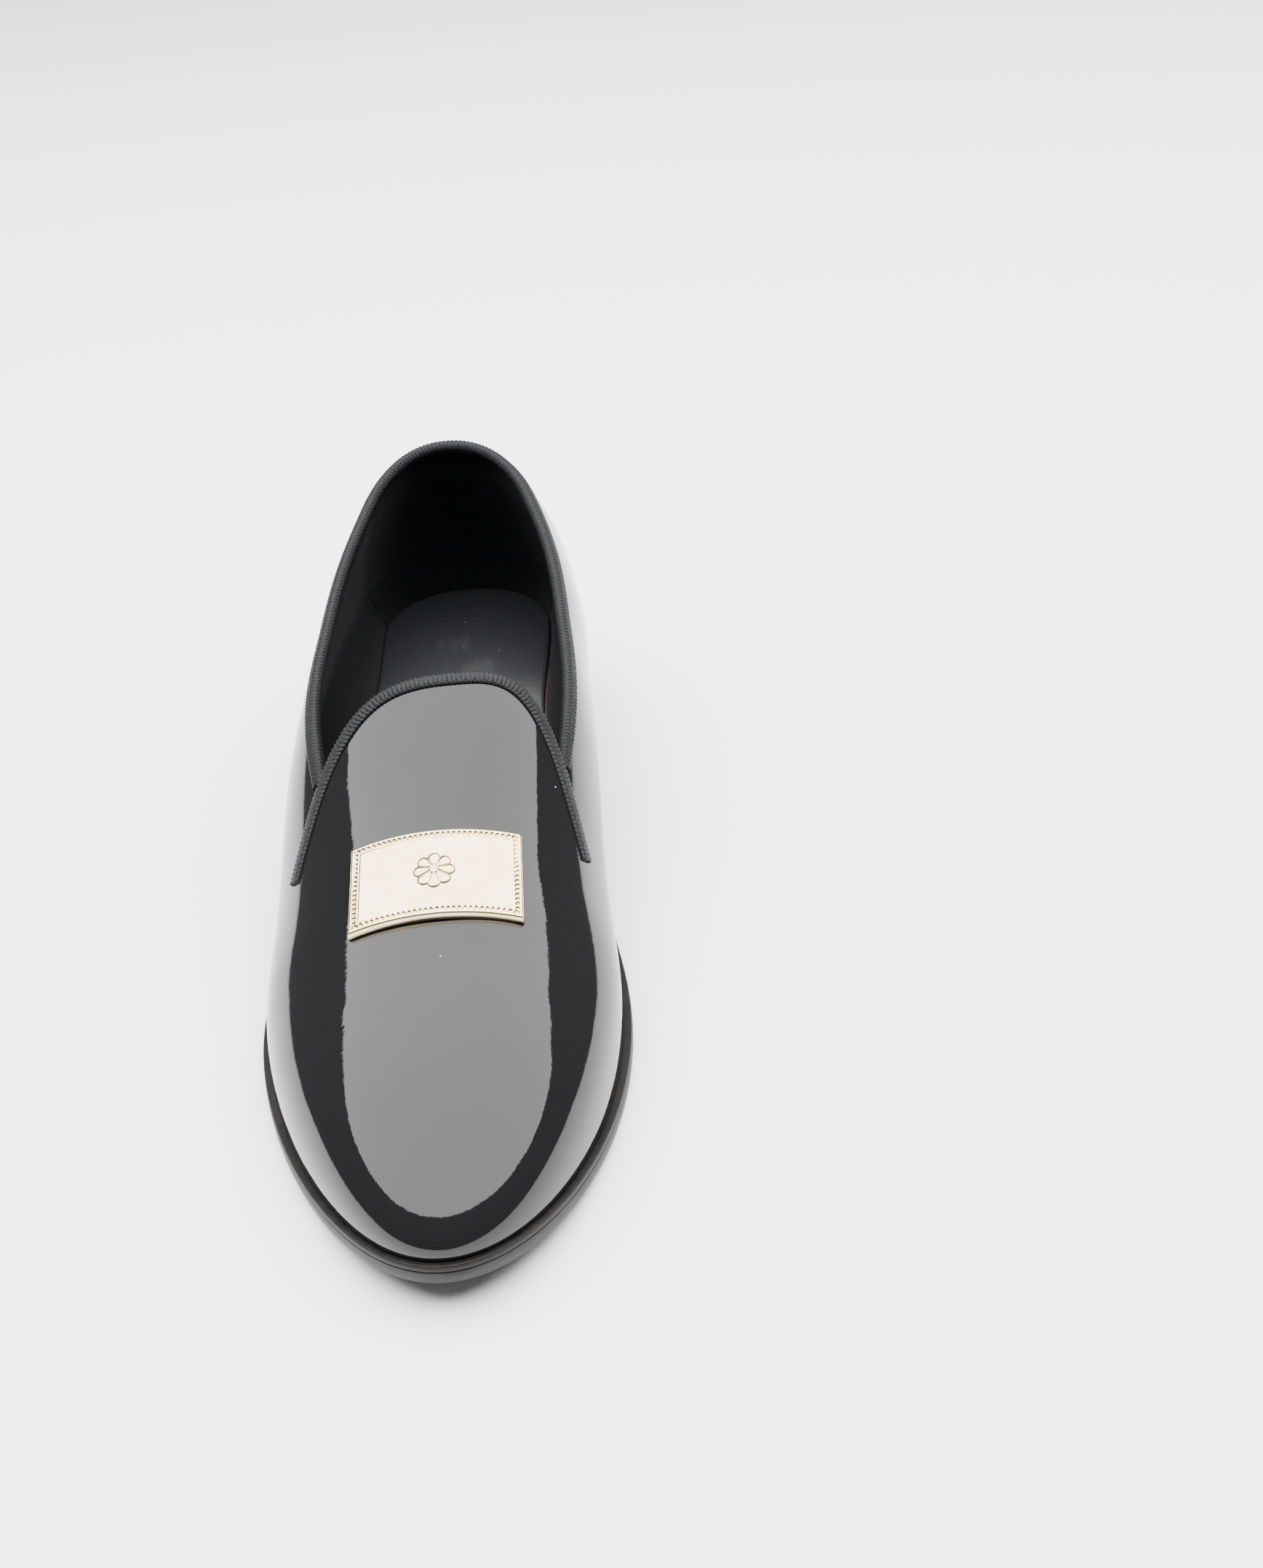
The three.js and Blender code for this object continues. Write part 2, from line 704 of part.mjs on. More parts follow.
// Frames along an edge: outward from the surface, and away from the leather in its plane.
function framed(edge) {
  return edge.map(({ s, side, lift }, i) => {
    const point = bodyPoint(s, side, lift);
    const before = edge[Math.max(0, i - 1)];
    const after = edge[Math.min(edge.length - 1, i + 1)];
    const tangent = bodyPoint(after.s, after.side, after.lift)
      .sub(bodyPoint(before.s, before.side, before.lift)).normalize();
    const outward = surfaceNormal(s, side, lift);
    const away = outward.clone().cross(tangent).normalize();
    return { point, outward: tangent.clone().cross(away).normalize(), away };
  });
}

function toplineBinding() {
  const front = slitStation - slitWidth;
  const half = (side) => quarterBases.filter((base) => base > 0 && base < front)
    .map((base) => ({ s: quarterStation(base, side, 1), side, lift: toplineLift(base, side) }));
  const back = { s: 0, side: 1, lift: toplineLift(0, 1) };
  return sweep(framed([...half(1).toReversed(), back, ...half(-1)]));
}

function vampBinding() {
  const steps = 18;
  const half = (side) => range(steps).slice(0, -1).map((t) => {
    const lift = mix(slitLift + 0.02, 1, t);
    return { s: vampEdge(lift), side, lift };
  });
  const top = { s: throatStation, side: 1, lift: 1 };
  return sweep(framed([...half(-1), top, ...half(1).toReversed()]));
}

// ---------------------------------------------------------------- soles

// A slab between two levels, its edge a share of the way out along each rib.
function slab(edgeReach, low, high, stations = soleStations, shares = [1, 0.86, 0.5, 0]) {
  const sheet = new Sheet();
  for (const side of [1, -1]) {
    const rows = shares.map((share) => stations.map((s) => {
      const r = rib(s, side);
      const [x, station] = planPoint(r, edgeReach(r, s, side) * share);
      const y = yOf(station);
      return [new THREE.Vector3(x, y, high(station)), new THREE.Vector3(x, y, low(station))];
    }));
    sheet.patch(rows.map((row) => (side > 0 ? row : row.toReversed())));
  }
  return sheet.geometry();
}

// How far out a rib's inner face is, at its narrower end between two levels above the sole.
function insideReach(r, s, side, low, high, depth) {
  const reaches = [low, (low + high) / 2, high].map((height) => {
    const edge = bodyPoint(s, side, liftAt(s, side, level(height), depth), depth);
    return new THREE.Vector2(edge.x, stationOf(edge.y)).sub(r.start).length();
  });
  return Math.min(...reaches);
}

const sockTop = boardTop + heelPadThick + 2 * gap + sockThick;
const boardEdge = (r, s, side) => insideReach(r, s, side, boardLow, boardTop + gap, leatherThick + gap);
const sockEdge = (r, s, side) => insideReach(r, s, side, boardTop, sockTop + gap, liningDepth + liningThick + 2 * gap);

const padRise = (s) => (heelPadThick + gap) * (1 - ease((s - heelPadFront) / (breastStation + 30 - heelPadFront)));
const sockLow = (s) => soleBottom(s) + boardTop + gap + padRise(s);

function heelPad() {
  const stations = soleStations.filter((s) => s <= heelPadFront);
  return slab((r, s, side) => sockEdge(r, s, side) - heelPadInset, level(boardTop + gap), level(boardTop + gap + heelPadThick), stations);
}

function shankPiece(grow) {
  const sheet = new Sheet();
  const rows = range(10).map((t) => {
    const s = mix(shankBack - grow, shankFront + grow, t);
    const half = shankWidth / 2 + grow;
    return [-half, half].map((across) => {
      const x = shankX(s) + across;
      const low = soleBottom(s) + featherLevel - grow;
      const high = soleBottom(s) + featherLevel + leatherThick + grow;
      return [new THREE.Vector3(x, yOf(s), high), new THREE.Vector3(x, yOf(s), low)];
    });
  });
  return sheet.patch(rows).geometry();
}

const shankX = (s) => mix(soleCentre(shankBack), soleCentre(shankFront), (s - shankBack) / (shankFront - shankBack));

function uprightCylinder(radius, low, high, x, y, sides = 10) {
  const cylinder = new THREE.CylinderGeometry(radius, radius, high - low, sides);
  return cylinder.rotateX(Math.PI / 2).translate(x, y, (low + high) / 2);
}

function rivet(s, grow) {
  const low = soleBottom(s - rivetRadius) + featherLevel - grow;
  const high = soleBottom(s + rivetRadius) + boardTop + grow;
  return uprightCylinder(rivetRadius + grow, low, high, shankX(s), yOf(s));
}

const nailBottom = topPieceThick + gap + nailTip;
const nailTop = heelHeight + boardTop;

function nail(i, grow) {
  const angle = mix(-nailSpread, Math.PI + nailSpread, i / (nailCount - 1));
  const x = nailRing * Math.cos(angle) * 0.95;
  const y = yOf(heelStation) + nailRing * Math.sin(angle);
  const shaft = uprightCylinder(nailRadius + grow, nailBottom - grow, nailTop, x, y, 8);
  const head = uprightCylinder(nailHeadRadius + grow, nailTop - nailHeadThick - grow, nailTop + grow, x, y, 8);
  return geometryOf(solidOf(shaft).add(solidOf(head)));
}

const nailHoles = range(nailCount).slice(0, -1).map((unused, i) => nail(i, gap));

// ---------------------------------------------------------------- heel

// Half-width of the heel, an inset inside the sole's edge.
function heelHalfWidth(s, inset) {
  if (s >= heelStation) return soleHalfWidth(s) - inset;
  const back = clamp01((heelStation - s) / (heelStation - inset));
  return (heelWidth / 2 - inset) * Math.pow(1 - Math.pow(back, heelSquareness), 1 / heelSquareness);
}

// Heel outline, a little inside the sole's edge, with a hollowed breast across its front.
function heelShape(inset) {
  const steps = 14;
  const front = breastStation - 1;
  const stationAt = (t) => mix(inset, front, 1 - Math.cos(t * Math.PI / 2));
  const half = (side) => range(steps).map((t) => {
    const s = stationAt(t);
    return new THREE.Vector2(
      soleCentre(Math.max(s, heelStation)) + side * heelHalfWidth(s, inset),
      yOf(s),
    );
  });
  const right = half(1).slice(1);
  const left = half(-1).slice(1).toReversed();
  const middle = new THREE.Vector2((right.at(-1).x + left[0].x) / 2, yOf(front - breastHollow));
  const breast = new THREE.QuadraticBezierCurve(right.at(-1), middle, left[0]);
  const back = new THREE.Vector2(0, yOf(inset));
  return new THREE.Shape([back, ...right, ...breast.getPoints(6).slice(1, -1), ...left]);
}

function plate(shape, low, high) {
  const geometry = new THREE.ExtrudeGeometry(shape, { depth: high - low, bevelEnabled: false });
  return geometry.translate(0, 0, low);
}

const liftThick = (heelHeight - topPieceThick - gap * (liftCount + 1)) / liftCount;

function heelLift(i) {
  const low = topPieceThick + gap + i * (liftThick + gap);
  const inset = 0.5 + (liftCount - 1 - i) * liftTaper;
  return cut(plate(heelShape(inset), low, low + liftThick), nailHoles);
}

// A half plane that divides the top piece along its slanted seam.
function seamBlock(forward) {
  const reach = heelWidth;
  const slope = (seamLateralStation - seamMedialStation) / heelWidth;
  const seamY = (x) => yOf(seamMedialStation + (heelWidth / 2 - x) * slope) - forward * gap / 2;
  const far = yOf(heelStation) - forward * 2 * breastStation;
  const corners = [[-reach, seamY(-reach)], [reach, seamY(reach)], [reach, far], [-reach, far]];
  const shape = new THREE.Shape(corners.map(([x, y]) => new THREE.Vector2(x, y)));
  return plate(shape, -1, topPieceThick + 1);
}

function topPiece(forward) {
  const whole = plate(heelShape(0.5 + liftCount * liftTaper), 0, topPieceThick);
  return geometryOf(solidOf(whole).intersect(solidOf(seamBlock(forward))));
}

// ---------------------------------------------------------------- ornament

// Height of the vamp above a place in plan, found along its ribs.
function vampHeight(x, station) {
  const side = x >= ridgeX(station) ? 1 : -1;
  let low = station - 4;
  let high = shoeLength;
  let lift = 1;
  for (let i = 0; i < 24; i += 1) {
    const s = (low + high) / 2;
    lift = liftAtReach(s, side, x);
    if (stationOf(bodyPoint(s, side, lift).y) < station) low = s;
    else high = s;
  }
  return bodyPoint((low + high) / 2, side, lift).z;
}

function liftAtReach(s, side, x) {
  let low = 0;
  let high = 1;
  for (let i = 0; i < 30; i += 1) {
    const middle = (low + high) / 2;
    if ((bodyPoint(s, side, middle).x - x) * side > 0) low = middle;
    else high = middle;
  }
  return (low + high) / 2;
}

const plateX = ridgeX(plateStation) + plateShift;

// The plate is bent to one round arch across the vamp and is straight along it.
function archOver(width, length, clearance) {
  const sample = (x, s) => vampHeight(plateX + x, s);
  const middle = sample(0, plateStation);
  const ends = [sample(-width / 2, plateStation), sample(width / 2, plateStation)];
  const sag = middle - (ends[0] + ends[1]) / 2;
  const lean = (ends[1] - ends[0]) / width;
  const pitch = (sample(0, plateStation + length / 2) - sample(0, plateStation - length / 2)) / length;
  const radius = (width * width / 4 + sag * sag) / (2 * sag);
  const arch = (x, s) => middle - radius + Math.sqrt(radius * radius - x * x) + lean * x
    + pitch * (s - plateStation);
  const spots = range(8).flatMap((i) => range(4).map((j) => [mix(-width, width, i) / 2, mix(-length, length, j) / 2]));
  const raise = Math.max(...spots.map(([x, d]) => sample(x, plateStation + d) - arch(x, plateStation + d)));
  return (x, s) => arch(x, s) + raise + clearance;
}

const plateUnderside = archOver(plateWidth, plateLength, gap);

function bentPlate(width, length, underside, thick) {
  const rows = range(4).map((j) => range(12).map((i) => {
    const x = mix(-width, width, i) / 2;
    const s = plateStation + mix(-length, length, j) / 2;
    const z = underside(x, s);
    return [new THREE.Vector3(plateX + x, yOf(s), z + thick), new THREE.Vector3(plateX + x, yOf(s), z)];
  }));
  return new Sheet().patch(rows).geometry();
}

// Inside the vamp, a thin plate follows its underside and takes the studs.
function backingPlate() {
  const depth = leatherThick + layerGap;
  const rows = range(2).map((j) => range(10).map((i) => {
    const x = mix(-backingWidth, backingWidth, i) / 2;
    const s = plateStation + mix(-backingLength, backingLength, j) / 2;
    const z = vampHeight(plateX + x, s) - depth * 1.15;
    const place = (drop) => new THREE.Vector3(plateX + x, yOf(s), z - drop);
    return [place(0), place(backingThick)];
  }));
  return new Sheet().patch(rows).geometry();
}

function stud(side, grow) {
  const x = side * studSpread / 2;
  const spots = [-studRadius, studRadius].map((d) => plateUnderside(x + side * studRadius, plateStation + d));
  const top = Math.min(...spots) - gap + grow;
  const bottom = vampHeight(plateX + x, plateStation) - liningDepth + 2 * gap - grow;
  return uprightCylinder(studRadius + grow, bottom, top, plateX + x, yOf(plateStation), 8);
}

// A plain eight-petal rosette.
function rosette() {
  const shape = new THREE.Shape(range(petalCount * 6).slice(0, -1).map((t) => {
    const angle = t * 2 * Math.PI;
    const reach = rosetteRadius * (0.72 + 0.28 * Math.cos(petalCount * angle));
    return new THREE.Vector2(reach * Math.cos(angle), reach * Math.sin(angle));
  }));
  const flat = plate(shape, 0, rosetteThick);
  const half = plateLength / 2;
  const rise = plateUnderside(0, plateStation + half) - plateUnderside(0, plateStation - half);
  flat.rotateX(Math.atan(-rise / plateLength));
  return flat.translate(plateX, yOf(plateStation), plateUnderside(0, plateStation) + plateThick + 1.5 * gap);
}

// ---------------------------------------------------------------- assembly

const studHoles = [stud(1, gap), stud(-1, gap)];
const rivetStations = [shankBack + shankRivetInset, shankFront - shankRivetInset];
const rivetHoles = rivetStations.map((s) => rivet(s, gap));

const soleEdge = (r) => r.soleReach;
const corkEdge = (r) => r.feather - lastingMargin - corkMargin;
const corkStations = soleStations.filter((s) => s > corkBack && s < corkFront);

add('outsole', cut(slab(soleEdge, level(0), level(outsoleThick)), nailHoles), soleLeather);
add('midsole', cut(slab(soleEdge, level(midsoleLow), level(midsoleLow + midsoleThick)), nailHoles), heelLeather);
add('insole_board', cut(slab(boardEdge, level(boardLow), level(boardTop)), [...nailHoles, ...rivetHoles]), fibreboard);
const corkSlab = slab(corkEdge, level(featherLevel), level(featherLevel + leatherThick), soleStations);
add('cork_filler', cut(corkSlab, [shankPiece(gap), ...nailHoles]), cork);
add('shank', cut(shankPiece(0), rivetHoles), steel);
add('shank_rivet_rear', rivet(rivetStations[0], 0), steel);
add('shank_rivet_front', rivet(rivetStations[1], 0), steel);
add('heel_pad', heelPad(), foam);
add('sock_lining', slab(sockEdge, sockLow, (s) => sockLow(s) + sockThick), sockLeather);

for (let i = 0; i < liftCount; i += 1) add(`heel_lift_${i + 1}`, heelLift(i), heelLeather);
add('top_piece_rubber', topPiece(-1), heelRubber);
add('top_piece_leather', topPiece(1), heelLeather);
for (let i = 0; i < nailCount; i += 1) add(`heel_nail_${i + 1}`, nail(i, 0), brass);

add('wholecut_upper', cut(wholecut(), studHoles), patent);
add('back_strip', backStrip(), patent);
add('topline_binding', toplineBinding(), grosgrain);
add('vamp_binding', vampBinding(), grosgrain);
add('vamp_lining', vampLining(), liningLeather);
add('quarter_lining_medial', quarterLining(1), suede);
add('quarter_lining_lateral', quarterLining(-1), suede);
add('heel_grip', heelGrip(), suede);
add('heel_counter', heelCounter(), stiffener);
add('toe_puff', toePuff(), stiffener);
add('elastic_gore_medial', gore(1), elastic);
add('elastic_gore_lateral', gore(-1), elastic);

add('ornament_plate', bentPlate(plateWidth, plateLength, plateUnderside, plateThick), gold);
add('ornament_rosette', rosette(), gold);
add('ornament_stud_medial', stud(1, 0), brass);
add('ornament_stud_lateral', stud(-1, 0), brass);
add('ornament_backing', cut(backingPlate(), studHoles), brass);

// The origin goes under the middle of the shoe, on the floor.
const box = new THREE.Box3().setFromObject(shoe);
const centre = box.getCenter(new THREE.Vector3());
shoe.position.set(-centre.x, -centre.y, -box.min.z);

export default shoe;
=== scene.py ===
import bmesh
import bpy
import numpy as np
from mathutils import Matrix, Vector
from mathutils.bvhtree import BVHTree


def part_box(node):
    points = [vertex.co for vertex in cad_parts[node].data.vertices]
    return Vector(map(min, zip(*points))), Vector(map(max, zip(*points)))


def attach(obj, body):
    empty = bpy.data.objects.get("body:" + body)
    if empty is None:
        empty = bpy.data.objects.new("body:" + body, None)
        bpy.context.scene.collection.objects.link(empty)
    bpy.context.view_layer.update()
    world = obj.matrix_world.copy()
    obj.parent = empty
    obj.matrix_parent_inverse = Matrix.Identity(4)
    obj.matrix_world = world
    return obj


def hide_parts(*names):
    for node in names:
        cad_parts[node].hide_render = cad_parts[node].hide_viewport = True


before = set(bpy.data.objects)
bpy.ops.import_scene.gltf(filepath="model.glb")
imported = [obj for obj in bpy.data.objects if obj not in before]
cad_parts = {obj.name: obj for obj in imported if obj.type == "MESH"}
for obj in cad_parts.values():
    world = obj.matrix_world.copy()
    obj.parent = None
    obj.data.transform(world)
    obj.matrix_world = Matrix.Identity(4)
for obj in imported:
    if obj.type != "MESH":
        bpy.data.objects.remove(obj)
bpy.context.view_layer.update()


# ------------------------------------------------------------------ insole board and cork
# The insole board is pressed fibre, cut to the sole's plan, and everything else is lasted
# onto it. Granulated cork levels the hollow under it, inside the turned-in upper.

MM = 0.001
shoe_length = 300.0
ball_width = 101.0
waist_width = 67.0
heel_width = 67.0
heel_station = 34.0
waist_station = 92.0
ball_station = 200.0
swing_station = 150.0
waist_swing = -5.0
toe_swing = -1.0
toe_fullness = 0.6
heel_squareness = 2.05
heel_height = 20.0
breast_station = 72.0
tread_start = 194.0
tread_end = 224.0
toe_spring = 9.0


def ease(t):
    c = np.clip(t, 0.0, 1.0)
    return c * c * c * (10 - 15 * c + 6 * c * c)


def spline(points, level_ends=False):
    """A smooth curve through the points, with natural or level ends."""
    x = np.array([p[0] for p in points], float)
    y = np.array([p[1] for p in points], float)
    count = len(x)
    step = np.diff(x)
    rise = np.diff(y) / step
    matrix = np.eye(count)
    right = np.zeros(count)
    for i in range(1, count - 1):
        matrix[i, i - 1:i + 2] = step[i - 1], 2 * (step[i - 1] + step[i]), step[i]
        right[i] = 6 * (rise[i] - rise[i - 1])
    if level_ends:
        matrix[0, :2] = 2 * step[0], step[0]
        matrix[-1, -2:] = step[-1], 2 * step[-1]
        right[0] = 6 * rise[0]
        right[-1] = -6 * rise[-1]
    bend = np.linalg.solve(matrix, right)

    def curve(s):
        s = np.asarray(s, float)
        i = np.clip(np.searchsorted(x, s) - 1, 0, count - 2)
        h = step[i]
        a = (x[i + 1] - s) / h
        b = 1 - a
        return (a * y[i] + b * y[i + 1]
                + ((a ** 3 - a) * bend[i] + (b ** 3 - b) * bend[i + 1]) * h * h / 6)

    return curve


middle_half_width = spline(
    [(heel_station, heel_width / 2), (waist_station, waist_width / 2), (ball_station, ball_width / 2)],
    level_ends=True)
centre_line = spline([(heel_station, 0), (swing_station, waist_swing), (shoe_length, toe_swing)],
                     level_ends=True)


def sole_centre(s):
    return centre_line(np.maximum(s, heel_station))


def sole_half_width(s):
    s = np.asarray(s, float)
    back = np.clip((heel_station - s) / heel_station, 0, 1)
    heel = heel_width / 2 * (1 - back ** heel_squareness) ** (1 / heel_squareness)
    u = np.clip((s - ball_station) / (shoe_length - ball_station), 0, 1)
    toe = ball_width / 2 * np.sqrt(np.maximum(0, 1 - u * u * (1 + toe_fullness * (1 - u))))
    middle = middle_half_width(np.clip(s, heel_station, ball_station))
    return np.where(s < heel_station, heel, np.where(s < ball_station, middle, toe))


def sole_bottom(s):
    s = np.asarray(s, float)
    arch = heel_height * (1 - ease((s - breast_station) / (tread_start - breast_station)))
    spring = toe_spring * (np.maximum(0, s - tread_end) / (shoe_length - tread_end)) ** 2
    return arch + spring


# The frame's origin is under the middle of the shoe: the heel's back and its seam place it.
strip_low, strip_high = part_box("back_strip")
sole_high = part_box("outsole")[1]
shift = np.array([(strip_low[0] + strip_high[0]) / 2, sole_high[1] - shoe_length / 2 * MM, 0.0])


def placed(points):
    """Points of the sole plan in millimetres, as metres in the frame."""
    return np.asarray(points, float) * MM + shift


def finish(name, base, roughness, metallic=0.0, **sockets):
    """A principled finish. Returns the material, its node tree and its shader."""
    material = bpy.data.materials.new(name)
    material.use_nodes = True
    tree = material.node_tree
    shader = tree.nodes["Principled BSDF"]
    shader.inputs["Base Color"].default_value = (*base, 1)
    shader.inputs["Roughness"].default_value = roughness
    shader.inputs["Metallic"].default_value = metallic
    for socket, value in sockets.items():
        shader.inputs[socket.replace("_", " ")].default_value = value
    return material, tree, shader


def new_group(name, inputs, outputs):
    """An empty shader node group with float inputs (name, value) and named outputs (name, kind)."""
    group = bpy.data.node_groups.new(name, "ShaderNodeTree")
    for label, value in inputs:
        socket = group.interface.new_socket(name=label, in_out="INPUT", socket_type="NodeSocketFloat")
        socket.default_value = value
    for label, kind in outputs:
        group.interface.new_socket(name=label, in_out="OUTPUT", socket_type=kind)
    start = group.nodes.new("NodeGroupInput")
    end = group.nodes.new("NodeGroupOutput")
    place = group.nodes.new("ShaderNodeTexCoord")
    return group, start, end, place


def maths(tree, operation, a, b=None, clamp=False):
    node = tree.nodes.new("ShaderNodeMath")
    node.operation = operation
    node.use_clamp = clamp
    for i, value in enumerate((a, b)):
        if value is None:
            continue
        if isinstance(value, bpy.types.NodeSocket):
            tree.links.new(value, node.inputs[i])
        else:
            node.inputs[i].default_value = value
    return node.outputs[0]


def noise(tree, vector, scale, detail=2.0, rough=0.5):
    node = tree.nodes.new("ShaderNodeTexNoise")
    node.inputs["Detail"].default_value = detail
    node.inputs["Roughness"].default_value = rough
    tree.links.new(vector, node.inputs["Vector"])
    if isinstance(scale, bpy.types.NodeSocket):
        tree.links.new(scale, node.inputs["Scale"])
    else:
        node.inputs["Scale"].default_value = scale
    return node.outputs["Fac"]


def stretched(tree, vector, x, y, z):
    """Coordinates scaled unevenly, so that a pattern runs in one direction."""
    node = tree.nodes.new("ShaderNodeMapping")
    tree.links.new(vector, node.inputs["Vector"])
    node.inputs["Scale"].default_value = (x, y, z)
    return node.outputs["Vector"]


def fibre_group():
    """Pressed or stacked fibre: fine streaks that lie level, with broad blotches."""
    group, start, end, place = new_group(
        "level fibre", [("Streaks", 900.0), ("Blotches", 60.0)],
        [("Tone", "NodeSocketFloat"), ("Height", "NodeSocketFloat")])
    lying = stretched(group, place.outputs["Object"], 0.12, 0.12, 1.0)
    streaks = noise(group, lying, start.outputs["Streaks"], 5, 0.65)
    blotches = noise(group, place.outputs["Object"], start.outputs["Blotches"], 3)
    tone = maths(group, "ADD", maths(group, "MULTIPLY", streaks, 0.65),
                 maths(group, "MULTIPLY", blotches, 0.35))
    group.links.new(tone, end.inputs["Tone"])
    group.links.new(streaks, end.inputs["Height"])
    return group


def place_group(tree, group, **values):
    node = tree.nodes.new("ShaderNodeGroup")
    node.node_tree = group
    for label, value in values.items():
        node.inputs[label.replace("_", " ")].default_value = value
    return node


def tint(tree, shader, mask, dark, light, low=0.35, high=0.65, socket="Base Color"):
    """Colours a socket between two tones by a mask."""
    ramp = tree.nodes.new("ShaderNodeValToRGB")
    ramp.color_ramp.elements[0].position = low
    ramp.color_ramp.elements[1].position = high
    ramp.color_ramp.elements[0].color = (*dark, 1)
    ramp.color_ramp.elements[1].color = (*light, 1)
    tree.links.new(mask, ramp.inputs["Fac"])
    tree.links.new(ramp.outputs["Color"], shader.inputs[socket])
    return ramp.outputs["Color"]


def spread(tree, shader, mask, low, high, socket="Roughness"):
    """Moves a number socket between two values with a mask."""
    node = tree.nodes.new("ShaderNodeMapRange")
    node.inputs["To Min"].default_value = low
    node.inputs["To Max"].default_value = high
    tree.links.new(mask, node.inputs["Value"])
    tree.links.new(node.outputs["Result"], shader.inputs[socket])


def relief(tree, shader, height, distance, strength=1.0, under=None):
    bump = tree.nodes.new("ShaderNodeBump")
    bump.inputs["Strength"].default_value = strength
    bump.inputs["Distance"].default_value = distance
    tree.links.new(height, bump.inputs["Height"])
    if under is not None:
        tree.links.new(under, bump.inputs["Normal"])
    tree.links.new(bump.outputs["Normal"], shader.inputs["Normal"])
    return bump.outputs["Normal"]


def dress_node(node, material):
    """A hidden piece stays as its own solid, with its finish."""
    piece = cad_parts[node]
    piece.data.materials.clear()
    piece.data.materials.append(material)


level_fibre = fibre_group()

board_finish, tree, shader = finish("pressed fibreboard", (0.32, 0.2, 0.09), 0.9)
fibre = place_group(tree, level_fibre, Streaks=700.0, Blotches=120.0)
tint(tree, shader, fibre.outputs["Tone"], (0.23, 0.14, 0.06), (0.42, 0.28, 0.14))
relief(tree, shader, fibre.outputs["Height"], 0.00015)
dress_node("insole_board", board_finish)

cork_finish, tree, shader = finish("granulated cork", (0.36, 0.2, 0.08), 0.95)
place = tree.nodes.new("ShaderNodeTexCoord")
granules = tree.nodes.new("ShaderNodeTexVoronoi")
granules.inputs["Scale"].default_value = 450
tree.links.new(place.outputs["Object"], granules.inputs["Vector"])
tint(tree, shader, granules.outputs["Distance"], (0.45, 0.27, 0.12), (0.12, 0.06, 0.02), 0.2, 0.9)
relief(tree, shader, granules.outputs["Distance"], 0.0004)
dress_node("cork_filler", cork_finish)


# ------------------------------------------------------------------ shank and rivets
# A tempered steel strip stiffens the waist between heel and ball. Two steel rivets hold it
# to the insole board.

steel_finish, tree, shader = finish("tempered steel", (0.33, 0.34, 0.36), 0.35, 1.0)
fibre = place_group(tree, level_fibre, Streaks=2500.0, Blotches=200.0)
tint(tree, shader, fibre.outputs["Tone"], (0.2, 0.2, 0.23), (0.5, 0.5, 0.5))
spread(tree, shader, fibre.outputs["Tone"], 0.25, 0.5)
for node in ("shank", "shank_rivet_rear", "shank_rivet_front"):
    dress_node(node, steel_finish)


# ------------------------------------------------------------------ stiffeners
# The heel counter and toe puff are cloth stiffened with resin. They are lasted between the
# upper and its lining, and give the heel and toe their firm shape.

stiffener_finish, tree, shader = finish("resin-stiffened cloth", (0.55, 0.48, 0.36), 0.85)
place = tree.nodes.new("ShaderNodeTexCoord")
mottle = noise(tree, place.outputs["Object"], 300, 6)
tint(tree, shader, mottle, (0.45, 0.39, 0.28), (0.65, 0.58, 0.46))
relief(tree, shader, mottle, 0.0002)
for node in ("heel_counter", "toe_puff"):
    dress_node(node, stiffener_finish)


# ------------------------------------------------------------------ wholecut upper
# One piece of black patent leather, lasted over the whole foot and turned in under the
# insole board. Its back edges meet at the heel, and it is slit at each side of the throat.

welt = {"heel": 1.6, "waist": 1.5, "ball": 1.9, "toe": 1.7}
overhang = {
    1: {"heel": 5.5, "waist": 12.0, "ball": 2.1, "toe": 0.9},
    -1: {"heel": 5.5, "waist": 12.5, "ball": 1.2, "toe": 0.9},
}
squareness = {"heel": 2.15, "waist": 2.6, "ball": 2.12, "toe": 2.5}
tuck_height = 24.0
ridge_height = spline([(0, 98), (60, 93.5), (132, 74), (185, 54.5), (240, 41), (300, 29)])
ridge_swing = spline([(0, -1.5), (60, -1.5), (135, 5), (200, 1), (300, 1.5)])
topline_height = spline([(0, 90), (45, 80.5), (100, 66.5), (170, 49.5)])
toe_rib_station = 150.0
heel_rib_station = 60.0
leather = 1.2
outsole_thick = 3.8
midsole_thick = 1.6
gap = 0.3
feather_level = outsole_thick + gap + midsole_thick + gap
throat_station = 133.0
slit_station = 178.0
slit_lift = 0.39
throat_roundness = 2.8
slit_width = 1.3
turned_in = 9.0


def along(values, s):
    """A value given at the heel, waist, ball and toe, eased between them."""
    back = values["heel"] + (values["waist"] - values["heel"]) * ease(s / waist_station)
    middle = values["waist"] + (values["ball"] - values["waist"]) * ease(
        (s - waist_station) / (ball_station - waist_station))
    front = values["ball"] + (values["toe"] - values["ball"]) * ease(
        (s - ball_station) / (shoe_length - ball_station))
    return np.where(s < waist_station, back, np.where(s < ball_station, middle, front))


def ridge_station(s):
    turn = 2 / np.pi
    reach = shoe_length - toe_rib_station
    toe = toe_rib_station + reach * turn * np.sin((s - toe_rib_station) / reach / turn)
    behind = (heel_rib_station - s) / heel_rib_station
    heel = heel_rib_station - heel_rib_station * turn * np.sin(behind / turn)
    return np.where(s > toe_rib_station, toe, np.where(s < heel_rib_station, heel, s))


